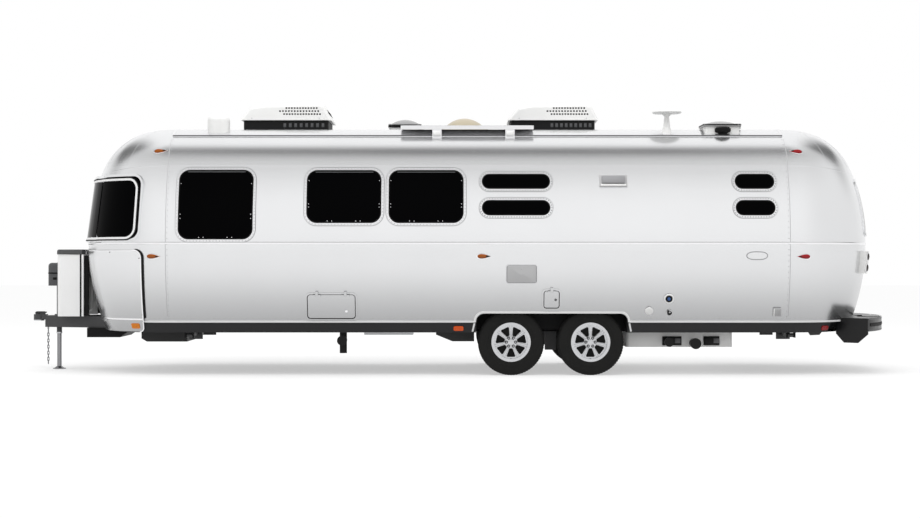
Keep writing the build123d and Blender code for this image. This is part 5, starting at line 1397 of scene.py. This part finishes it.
class CARAVAN_OT_lamps(Step, bpy.types.Operator):
    """Sets teardrop marker lamps, skirt reflectors and the tail lamps' lenses"""

    bl_idname = "caravan.lamps"
    bl_label = "Lamps"

    def execute(self, context):
        lenses = {"amber": Mesh(), "red": Mesh()}
        bezels, tails, reflectors = Mesh(), Mesh(), Mesh()
        # each lamp's colour, its place, and the way along x that its nose points
        spots = [("amber", WALLS.end(turn, z), -1) for turn in (8.0, 172.0) for z in (2.370, 1.255)]
        spots += [("amber", WALLS.side(0.273, 1.256, side), -1) for side in (ROAD, CURB)]
        spots += [("red", WALLS.end(turn, z, True), 1) for turn in (8.8, 171.2) for z in (2.365, 1.253)]
        for colour, (point, normal), facing in spots:
            nose = Vector((facing, 0, 0))
            drop_lens(bezels, point, normal, nose, *BEZEL)
            drop_lens(lenses[colour], point, normal, nose, *MARKER_LENS)
            drop_lens(tails, point - nose * 0.040, normal, nose, *MARKER_TAIL)
        heights = steps(*REFLECTOR_Z, 0.0092)
        for side in (ROAD, CURB):
            pad = [onto_side(SKIRT, level(-0.046, 0.058, 0.0104, z), side) for z in heights]
            sheet(reflectors, round_off(pad), 0.012)
        for turn in (33.0, 147.0):
            pad = [onto_end(SKIRT, level(turn - 3.3, turn + 3.3, 0.66, z), True) for z in heights]
            sheet(lenses["red"], round_off(pad), 0.009)
        amber = lenses["amber"].piece("amber_lenses", SHELL, "amber_lens")
        red = lenses["red"].piece("red_lenses", SHELL, "red_lens")
        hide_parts("lamps_amber")
        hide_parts("lamps_red")
        reflectors.piece("skirt_reflectors", SHELL, "skirt_reflector")
        bezels.piece("lamp_bezels", SHELL, "bright_edge")
        tails.piece("lamp_tails", SHELL, "lens_dark")
        self.tail_lamps()
        return {"FINISHED"}

    def tail_lamps(self):
        """Two round lenses in a bezel on each tail lamp."""
        glass, rings = Mesh(), Mesh()
        spots = [(turn, z) for turn in (65.0, 115.0) for z in (1.252, 1.132)]
        for point, normal in onto_end(Skin(["tail_lamps"]), spots, True):
            lathe(rings, point, normal, TAIL_RING, 36, True)
            lathe(glass, point, normal, TAIL_GLASS, 36)
        glass.piece("tail_lamp_lenses", SHELL, "lens_dark")
        rings.piece("tail_lamp_rings", SHELL, "bright_edge")


# road side fittings: places in x and z, and turned profiles as distances outward and radii
SERVICE_VENT, PORCH_LIGHT, OUTLET_BOX = (0.504, 0.829, 0.972, 1.169), (1.630, 2.045), (3.3515, 0.669)
FILLER, INLET, LOCK = (2.008, 0.682), (2.211, 0.811), (2.217, 0.667)
FILLER_CAP = [(-0.004, 0.043), (0.006, 0.042), (0.010, 0.036), (0.012, 0.010)]
INLET_RING = [(-0.004, 0.054), (0.006, 0.053), (0.010, 0.046), (0.008, 0.038), (-0.002, 0.037)]
INLET_WELL = [(-0.002, 0.0375), (0.006, 0.037), (0.008, 0.030), (0.008, 0.004)]
INLET_CAP = [(0.004, 0.018), (0.014, 0.017), (0.017, 0.012), (0.018, 0.003)]
LATCH = [(-0.003, 0.014), (0.004, 0.0135), (0.006, 0.010), (0.004, 0.006), (0.003, 0.001)]
HATCH_LATCHES = {
    "storage_hatch": ((-1.171, 0.679), "bright_edge"),
    "service_hatch": ((1.025, 0.800), "rail_grey"),
}
OVAL_CENTRE, OVAL_HALF = (3.1245, 1.2625), (0.10829, 0.0405)
WASTE_VALVES, VALVE_Z = ((2.290, 0.205), (2.715, 0.170)), 0.350


class CARAVAN_OT_fittings(Step, bpy.types.Operator):
    """Details the vents, light, inlets, caps and latches of the road side and the door's furniture"""

    bl_idname = "caravan.fittings"
    bl_label = "Wall fittings"

    def execute(self, context):
        metal, dark, white, grey = (Mesh() for _ in range(4))
        self.service_vent(metal, grey)
        self.porch_light(metal, grey, white)
        self.outlet_box(metal, white)
        self.inlets(metal, dark, white)
        self.hatch_latches()
        bead(grey, self.oval(), 0.0045, 0.003, loop=True)
        metal.piece("fitting_covers", SHELL, "cast_plate")
        dark.piece("fitting_sockets", SHELL, "seal_black")
        white.piece("fitting_caps", SHELL, "white_moulding")
        grey.piece("porch_light_lens", SHELL, "ring_grey")
        self.door_furniture()
        self.waste_valves()
        return {"FINISHED"}

    def service_vent(self, metal, grey):
        """The pyramid vent with its knob and the ring round it."""
        x0, x1, z0, z1 = SERVICE_VENT
        self.pyramid(metal, x0, x1, z0, z1)
        point, normal = FITTINGS.side(0.668, 1.125, ROAD)
        dome(metal, point + normal * 0.010, normal, 0.012, 0.010, 16)
        rim = flatten(rounded(x0, x1, z0, z1, 0.026, -0.008))
        bead(grey, onto_side(FITTINGS, rim, ROAD), 0.0045, 0.003, loop=True)

    def porch_light(self, metal, grey, white):
        """The light high on the wall: its back plate, its lens and the lip below it."""
        point, normal = FITTINGS.side(*PORCH_LIGHT, ROAD)
        u, v = frame_of(normal, X_AXIS)
        slab(metal, point + normal * 0.003, u, v, normal, (0.292, 0.136, 0.010), 0.004)
        up = v * (1 if v.z > 0 else -1)
        slab(grey, point + up * 0.010 + normal * 0.020, u, v, normal, (0.246, 0.082, 0.034), 0.008)
        slab(white, point - up * 0.048 + normal * 0.012, u, v, normal, (0.266, 0.022, 0.020), 0.004)

    def outlet_box(self, metal, white):
        """The ribbed cover near the rear, with its pale edge."""
        point, normal = FITTINGS.side(*OUTLET_BOX, ROAD)
        u, v = frame_of(normal, X_AXIS)
        slab(metal, point + normal * 0.004, u, v, normal, (0.082, 0.088, 0.012), 0.004)
        for offset in (-0.014, 0.004, 0.022):
            slab(metal, point + u * offset + normal * 0.012, u, v, normal, (0.004, 0.066, 0.006), 0.0015)
        slab(white, point - u * 0.034 + normal * 0.013, u, v, normal, (0.010, 0.080, 0.008), 0.003)

    def inlets(self, metal, dark, white):
        """The filler's cap and handle, the power inlet and the drop-shaped lock cover."""
        blue = Mesh()
        self.round_fitting(white, FILLER, FILLER_CAP)
        point, normal = FITTINGS.side(FILLER[0], 0.712, ROAD)
        plate(white, point + normal * 0.012, normal, (0.020, 0.034, 0.010), 0.004)
        self.round_fitting(white, INLET, INLET_RING, True)
        self.round_fitting(dark, INLET, INLET_WELL)
        self.round_fitting(blue, INLET, INLET_CAP)
        blue.piece("inlet_cap", SHELL, "blue_cap")
        point, normal = FITTINGS.side(*LOCK, ROAD)
        drop_lens(dark, point, normal, Vector((0.5, 0, -0.8)), (0.066, 0.050), 0.016)
        dome(metal, point + normal * 0.012 + Vector((0.006, 0, 0.004)), normal, 0.010, 0.006, 12)

    def hatch_latches(self):
        """A turned latch on each hatch."""
        for body, (place, finish) in HATCH_LATCHES.items():
            cap = Mesh()
            lathe(cap, *Skin([body]).side(*place, ROAD), LATCH, 20)
            cap.piece(f"{body}_latch", body, finish)

    def oval(self):
        """The way round the plain oval plate, a little fuller than an ellipse at its ends."""
        (x, z), (wide, tall) = OVAL_CENTRE, OVAL_HALF
        outline = []
        for a in (math.radians(4 + 8 * k) for k in range(45)):
            full = math.cos(a) * abs(math.cos(a)) ** -0.35
            outline.append((x + wide * full, z + tall * math.sin(a)))
        return onto_side(FITTINGS, outline, ROAD)

    def waste_valves(self):
        """The bodies of the two waste valves below the tank, and their tags."""
        valve, tag = Mesh(), Mesh()
        for x, wide in WASTE_VALVES:
            face = TANKS.side(x, VALVE_Z, ROAD)[0]
            out = (0, ROAD, 0)
            plate(valve, face + Vector((0, -0.010, 0.002)), out, (wide, 0.096, 0.028), 0.006)
            plate(tag, face + Vector((0.300 * wide, -0.024, 0.004)), out, (0.062, 0.052, 0.010), 0.003)
        valve.piece("waste_valve", SHELL, "black_pipe")
        tag.piece("waste_valve_tag", SHELL, "rail_grey")

    def pyramid(self, mesh, x0, x1, z0, z1):
        """A low four-sided cover with a small flat at its top."""
        half_wide, half_tall = (x1 - x0) / 2, (z1 - z0) / 2
        points = []
        for share, lift in ((1.0, 0.0), (0.97, 0.006), (0.12, 0.030)):
            for sx, sz in ((-1, -1), (1, -1), (1, 1), (-1, 1)):
                x = (x0 + x1) / 2 + sx * half_wide * share * 0.94
                z = (z0 + z1) / 2 + sz * half_tall * share * 0.92
                point, normal = FITTINGS.side(x, z, ROAD)
                points.append(point + normal * lift)
        mesh.add_rings(points, 4)

    def round_fitting(self, mesh, place, profile, closed=False):
        """A turned fitting on the road side."""
        lathe(mesh, *FITTINGS.side(*place, ROAD), profile, 32, closed)

    def door_furniture(self):
        """The door's lock, its handle, its seal and the grab rail beside it."""
        metal, black, seal = (Mesh() for _ in range(3))
        point, normal = Skin(["door"]).side(DOOR[2] - 0.060, 1.300, CURB)
        plate(metal, point + normal * 0.004, normal, (0.060, 0.150, 0.010), 0.004)
        plate(black, point + normal * 0.009, normal, (0.040, 0.086, 0.006), 0.003)
        plate(metal, point + normal * 0.020 - Vector((0, 0, 0.004)), normal, (0.028, 0.078, 0.012), 0.005)
        barrel = point + Vector((0, 0, 0.060)) + normal * 0.008
        lathe(metal, barrel, normal, [(-0.002, 0.010), (0.004, 0.009), (0.005, 0.003)], 20)
        metal.piece("door_handle", "door", "bright_edge")
        black.piece("door_handle_well", "door", "seal_black")
        ring = onto_side(PANES, flatten(rounded(*DOOR_GLASS[1:], -0.006)), CURB)
        bar(seal, ring, 0.007, 0.004, loop=True)
        seal.piece("door_glass_seal", "door", "seal_black")
        self.grab_rail()

    def grab_rail(self):
        """The rail beside the door, on two round feet."""
        rail = Mesh()
        ends = onto_side(SIDES, [(DOOR[2] + 0.150, z) for z in (1.020, 1.620)], CURB)
        (low, low_out), (high, high_out) = ends
        rise = Vector((0, 0, 0.02))
        path = [low, low + low_out * 0.045, low + low_out * 0.058 + rise]
        path += [high + high_out * 0.058 - rise, high + high_out * 0.045, high]
        tube(rail, path, 0.011, 16)
        for point, normal in ends:
            lathe(rail, point, normal, [(-0.002, 0.030), (0.004, 0.028), (0.006, 0.016)], 24)
        rail.piece("grab_rail", SHELL, "bright_edge")


# rows of holes in an air conditioner's cover: height, and where they start and end from its nose
HOLE_ROWS, HOLE_PITCH = ((2.886, 0.500, 0.833), (2.853, 0.430, 0.850), (2.820, 0.475, 0.869)), 0.0315
# heights of the base's louvres, the slots in the cover's rear, and the cover's lip and screws
LOUVRE_Z, REAR_SLOT_Z, COVER_LIP_Z, COVER_SCREW_Z = 2.700, 2.850, 2.760, 2.775
# middles of the rows of screws ahead of the fan vents, and where the plumbing vent stands
FAN_SCREWS, PLUMBING_X = ((-0.780, 0.0), (2.650, -0.590)), 2.840


class CARAVAN_OT_roof_gear(Step, bpy.types.Operator):
    """Sets rows of dark holes on the air conditioner covers, frames the solar panel and details the vents"""

    bl_idname = "caravan.roof_gear"
    bl_label = "Roof gear"

    def execute(self, context):
        shrouds, bases = Skin(["air_shrouds"]), Skin(["air_bases"])
        holes, louvres = Mesh(), Mesh()
        for start in AIR_STARTS:
            for side in (ROAD, CURB):
                for z, first, last in HOLE_ROWS:
                    row = level(start + first, start + last, HOLE_PITCH, z)
                    for point, normal in onto_side(shrouds, row, side):
                        plate(holes, point, normal, (0.019, 0.017, 0.002), 0.0008)
                row = level(start + 0.48, start + 0.90, 0.056, LOUVRE_Z)
                for point, normal in onto_side(bases, row, side):
                    plate(louvres, point, normal, (0.030, 0.044, 0.006), 0.002)
            for y in steps(-0.27, 0.27, 0.045):
                found = shrouds.seek((start + 1.6, y, REAR_SLOT_Z), (-1, 0, 0))
                if found:
                    point, normal = found
                    up = frame_of(normal, Z_AXIS)[0]
                    slab(holes, point, Y_AXIS, up, normal, (0.018, 0.060, 0.002), 0.0006)
        holes.piece("air_shroud_holes", SHELL, "seal_black")
        louvres.piece("air_base_louvres", SHELL, "head_grey")
        self.seams(shrouds)
        self.solar()
        self.lid_bands()
        self.screws()
        self.plumbing_vent()
        return {"FINISHED"}

    def seams(self, shrouds):
        """The edge where each cover laps its base, and its four screws."""
        lip, screws = Mesh(), Mesh()
        for start in AIR_STARTS:
            for side in (ROAD, CURB):
                edge = level(start + 0.02, start + 0.96, 0.08, COVER_LIP_Z)
                bar(lip, onto_side(shrouds, edge, side), 0.005, 0.003)
                places = [(start + x, COVER_SCREW_Z) for x in (0.12, 0.86)]
                for point, normal in onto_side(shrouds, places, side):
                    dome(screws, point, normal, 0.007, 0.003, 12)
        lip.piece("air_shroud_lips", SHELL, "white_moulding")
        screws.piece("air_shroud_screws", SHELL, "zinc_steel")

    def solar(self):
        """A bright frame round the panel, and its brackets."""
        low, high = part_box("solar_panel")
        skin = Skin(["solar_panel"])
        frame, brackets = Mesh(), Mesh()
        inset, wide = 0.014, 0.027
        x0, y0, x1, y1 = low.x + inset, low.y + inset, high.x - inset, high.y - inset
        corners = [skin.top(x, y) for x, y in ((x0, y0), (x1, y0), (x1, y1), (x0, y1))]
        for (a, n), (b, _) in zip(corners, corners[1:] + corners[:1]):
            along = b - a
            size = (along.length + wide, wide, 0.004)
            slab(frame, (a + b) / 2 + n * 0.001, along, n.cross(along), n, size, 0.0015)
        frame.piece("solar_frame", SHELL, "bright_edge")
        out = (0, ROAD, 0)
        for point, _ in onto_side(skin, [(x, low.z + 0.10) for x in (-0.224, 0.556)], ROAD):
            plate(brackets, point + Vector((0, -0.004, -0.045)), out, (0.080, 0.050, 0.010), 0.003)
            for x in (-0.03, 0.03):
                dome(brackets, point + Vector((x, -0.009, -0.05)), out, 0.008, 0.005, 12)
        brackets.piece("solar_brackets", SHELL, "white_moulding")

    def lid_bands(self):
        """A band round each vent's lid."""
        for name in ("vent_lid_front", "vent_lid_rear"):
            low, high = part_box(name)
            rise, reach = (0.018, 0.016) if name == "vent_lid_front" else (0.252 * (high.z - low.z), 0.006)
            centre = ((low.x + high.x) / 2 - 0.006, (low.y + high.y) / 2, low.z + rise)
            band = Mesh()
            bead(band, girdle(Skin([name]), centre, 1.0, 6), reach, 0.003, True)
            band.piece(f"{name}_band", name, "seal_black")

    def screws(self):
        """Screws ahead of the fan vents and along the skylight."""
        heads = Mesh()
        for x, y in FAN_SCREWS:
            for dy in (-0.14, 0.0, 0.14):
                dome(heads, *WALLS.top(x, y + dy), 0.007, 0.004, 12)
        skylight = Skin(["skylight"])
        for x in steps(-0.150, 0.295, 0.0742):
            for y in (-0.040, 0.420):
                dome(heads, *skylight.top(x, y), 0.007, 0.004, 10)
        heads.piece("roof_screws", SHELL, "zinc_steel")

    def plumbing_vent(self):
        """The round black vent beside the rear lid, its brim just under the lid's edge."""
        cap = Mesh()
        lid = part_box("vent_lid_rear")[0]
        foot, _ = WALLS.top(PLUMBING_X, lid.y - 0.006)
        rise = lid.z - 0.006 - foot.z
        brim = [(rise - 0.066, 0.048), (rise - 0.060, 0.076), (rise - 0.044, 0.086), (rise - 0.022, 0.086)]
        lathe(cap, foot, Z_AXIS, [(-0.045, 0.046)] + brim + [(rise - 0.006, 0.070), (rise, 0.012)], 40)
        cap.piece("plumbing_vent", SHELL, "seal_black")


# gas box: the top of its channels, and where the channels and the pale edge stand along x
GAS_TOP_Z, GAS_CHANNEL_X, GAS_BACK_X, GAS_EDGE_X = 1.277, -4.143, -4.082, -4.1135
JACK_HEAD = (-4.500, 0, 1.070)
COUPLER_X = -4.690


class CARAVAN_OT_hitch(Step, bpy.types.Operator):
    """Details the gas box, the jack's head, the coupler's latch and the rear bumper"""

    bl_idname = "caravan.hitch"
    bl_label = "Hitch and bumper"

    def execute(self, context):
        self.gas_box()
        self.gas_lid()
        self.jack()
        self.coupler()
        self.bumper()
        return {"FINISHED"}

    def gas_box(self):
        """The dark channels and the pale edges down the box's sides."""
        low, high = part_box("gas_box")
        black, white = Mesh(), Mesh()
        middle, tall = (low.z + GAS_TOP_Z) / 2, GAS_TOP_Z - low.z
        for side, face in ((ROAD, low.y), (CURB, high.y)):
            out, proud = (0, side, 0), face + side * 0.001
            plate(black, (GAS_CHANNEL_X, proud, middle), out, (0.018, tall, 0.004), 0.001)
            plate(black, (GAS_BACK_X, side * 0.352, middle), out, (0.055, tall - 0.02, 0.020), 0.004)
            plate(white, (GAS_EDGE_X, proud, middle), out, (0.008, tall, 0.005), 0.001)
        black.piece("gas_box_channels", SHELL, "seal_black")
        white.piece("gas_box_edges", SHELL, "white_moulding")

    def gas_lid(self):
        """The lid's latch, and the ribs along its sides."""
        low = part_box("gas_lid")[0]
        latch, rib = Mesh(), Mesh()
        ahead = (-1, 0, 0)
        slab(latch, (low.x - 0.002, 0.0, low.z + 0.020), Y_AXIS, Z_AXIS, ahead, (0.070, 0.040, 0.008), 0.003)
        slab(latch, (low.x - 0.007, 0.0, low.z + 0.012), Y_AXIS, Z_AXIS, ahead, (0.040, 0.030, 0.008), 0.003)
        latch.piece("gas_lid_latch", "gas_lid", "zinc_steel")
        skin = Skin(["gas_lid"])
        for side in (ROAD, CURB):
            bead(rib, onto_side(skin, level(-4.36, -4.15, 0.03, low.z + 0.016), side), 0.006, 0.003)
        rib.piece("gas_lid_rib", "gas_lid", "grey_moulding")

    def jack(self):
        """The power head's seam, its crank plug and switch, and the leg's collar."""
        skin = Skin(["jack_post"])
        dark, metal = Mesh(), Mesh()
        bead(dark, girdle(skin, JACK_HEAD, 0.6, 8), 0.008, 0.004, True)
        lathe(dark, *skin.top(-4.470, 0.0), [(-0.010, 0.020), (0.001, 0.020), (0.003, 0.016)], 20)
        point, normal = skin.side(JACK_HEAD[0], 1.010, ROAD)
        plate(dark, point + normal * 0.002, normal, (0.040, 0.026, 0.010), 0.003)
        dark.piece("jack_head_seam", SHELL, "seal_black")
        collar = [(-0.002, 0.0296), (0.0, 0.033), (0.014, 0.033), (0.016, 0.0296)]
        lathe(metal, (-4.463, 0, 0.398), Z_AXIS, collar, 32, True)
        metal.piece("jack_collar", SHELL, "zinc_steel")

    def coupler(self):
        """The latch lever over the socket with its pin, and the socket's lip."""
        low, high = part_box("coupler")
        latch, lip = Mesh(), Mesh()
        for x, drop, size in ((-4.672, 0.004, (0.100, 0.040, 0.012)), (-4.628, 0.008, (0.050, 0.028, 0.014))):
            slab(latch, (x, 0.0, high.z - drop), X_AXIS, Y_AXIS, Z_AXIS, size, 0.005)
        pin = [(0.0, 0.006), (0.002, 0.007), (0.050, 0.007), (0.052, 0.006)]
        lathe(latch, (COUPLER_X, -0.026, high.z - 0.020), Y_AXIS, pin, 16)
        latch.piece("coupler_latch", SHELL, "gloss_black")
        ring = [(0.0, 0.0305), (0.0, 0.0585), (0.010, 0.0590), (0.010, 0.0580), (0.004, 0.0310)]
        lathe(lip, (COUPLER_X, 0, low.z), Z_AXIS, ring, 40, True)
        lip.piece("coupler_lip", SHELL, "zinc_steel")

    def bumper(self):
        """Two edge strips and a rubber strip round the bumper, and the lid's latches."""
        skin = Skin(["bumper"])
        edges, strip, latches = (Mesh() for _ in range(3))
        for z in (0.588, 0.472):
            bar(edges, onto_end(skin, level(51.0, 129.0, 3.0, z), True), 0.005, 0.002)
        bead(strip, onto_end(skin, level(53.0, 127.0, 3.0, 0.530), True), 0.020, 0.006)
        edges.piece("bumper_edges", SHELL, "head_grey")
        strip.piece("bumper_strip", SHELL, "seal_black")
        lid = Skin(["bumper_lid"])
        for found in (lid.top(4.610, y) for y in (-0.45, 0.0, 0.45)):
            if found:
                lathe(latches, *found, [(-0.001, 0.016), (0.003, 0.015), (0.004, 0.005)], 20)
        latches.piece("bumper_lid_latches", "bumper_lid", "bright_edge")


# the lap round an end cap: its height at the seam, and how far it dips ahead
LAP_Z, LAP_DIP = 2.214, 0.085
PANEL_TURNS = (36.0, 66.0, 90.0, 114.0, 144.0)


class CARAVAN_OT_cap_seams(Step, bpy.types.Operator):
    """Laps the sheets of the end caps, with a painted shadow line under each lap"""

    bl_idname = "caravan.cap_seams"
    bl_label = "Cap seams"

    def execute(self, context):
        laps, shades, pale = (Mesh() for _ in range(3))
        heads, columns = [], []
        for rear, seam, face in ((False, SEAM_FRONT, -1), (True, SEAM_REAR, 1)):
            around = [(t, LAP_Z - LAP_DIP * math.sin(math.radians(t)) ** 2) for t in steps(1.0, 179.0, 3.0)]
            path = onto_end(WALLS, around, rear)
            bar(laps, path, 0.004, 0.0016)
            # painted shadow: a grey line just under each lap, where its edge casts shade
            bar(shades, [(p - Vector((0, 0, 0.006)), n) for p, n in path], 0.0035, 0.0010)
            line = seam + face * 0.004
            for side in (ROAD, CURB):
                bar(pale, onto_side(WALLS, upright(line, 0.62, HEAD_ROW_Z, 0.05), side), 0.0030, 0.0010)
                columns += onto_side(WALLS, upright(line - face * 0.016, 0.62, HEAD_ROW_Z, 0.058), side)
            heads += [(p - Vector((0, 0, 0.012)), n) for p, n in evenly(path, 0.045, False)]
            for turn in PANEL_TURNS:
                bar(laps, onto_end(WALLS, upright(turn, 2.22, 2.60, 0.03), rear), 0.004, 0.0016)
        laps.piece("cap_laps", SHELL, "aluminium_skin")
        shades.piece("cap_lap_shadow_lines", SHELL, "ring_grey")
        pale.piece("cap_seam_lines", SHELL, "lap_grey")
        studs("cap_seam_rivets", columns, 0.0052, 0.0026, finish="ring_grey")
        studs("cap_lap_rivets", heads, 0.0042, 0.0018)
        return {"FINISHED"}


GROUPS = {"caravan_studio": StudioSettings, "caravan_shell": ShellSettings, "caravan_wheels": WheelSettings}
STEPS = [
    CARAVAN_OT_stage,
    CARAVAN_OT_finishes,
    CARAVAN_OT_mouldings,
    CARAVAN_OT_rivets,
    CARAVAN_OT_windows,
    CARAVAN_OT_wheels,
    CARAVAN_OT_chains,
    CARAVAN_OT_front_windows,
    CARAVAN_OT_guards,
    CARAVAN_OT_lamps,
    CARAVAN_OT_fittings,
    CARAVAN_OT_roof_gear,
    CARAVAN_OT_hitch,
    CARAVAN_OT_cap_seams,
]


class CARAVAN_PT_panel(bpy.types.Panel):
    """Lists the steps and the settings"""

    bl_idname = "CARAVAN_PT_panel"
    bl_label = "Travel caravan"
    bl_space_type = "VIEW_3D"
    bl_region_type = "UI"
    bl_category = "Caravan"

    def draw(self, context):
        for name in GROUPS:
            group = getattr(context.scene, name)
            for key in group.__annotations__:
                self.layout.prop(group, key)
        for step in STEPS:
            self.layout.operator(step.bl_idname)


def register():
    for name, group in GROUPS.items():
        bpy.utils.register_class(group)
        setattr(bpy.types.Scene, name, PointerProperty(type=group))
    for step in STEPS + [CARAVAN_PT_panel]:
        bpy.utils.register_class(step)


def unregister():
    for step in reversed(STEPS + [CARAVAN_PT_panel]):
        bpy.utils.unregister_class(step)
    for name, group in GROUPS.items():
        delattr(bpy.types.Scene, name)
        bpy.utils.unregister_class(group)


def main():
    """Registers the add-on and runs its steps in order."""
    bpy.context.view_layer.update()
    register()
    for step in STEPS:
        space, call = step.bl_idname.split(".")
        getattr(getattr(bpy.ops, space), call)()


if __name__ == "__main__":
    main()
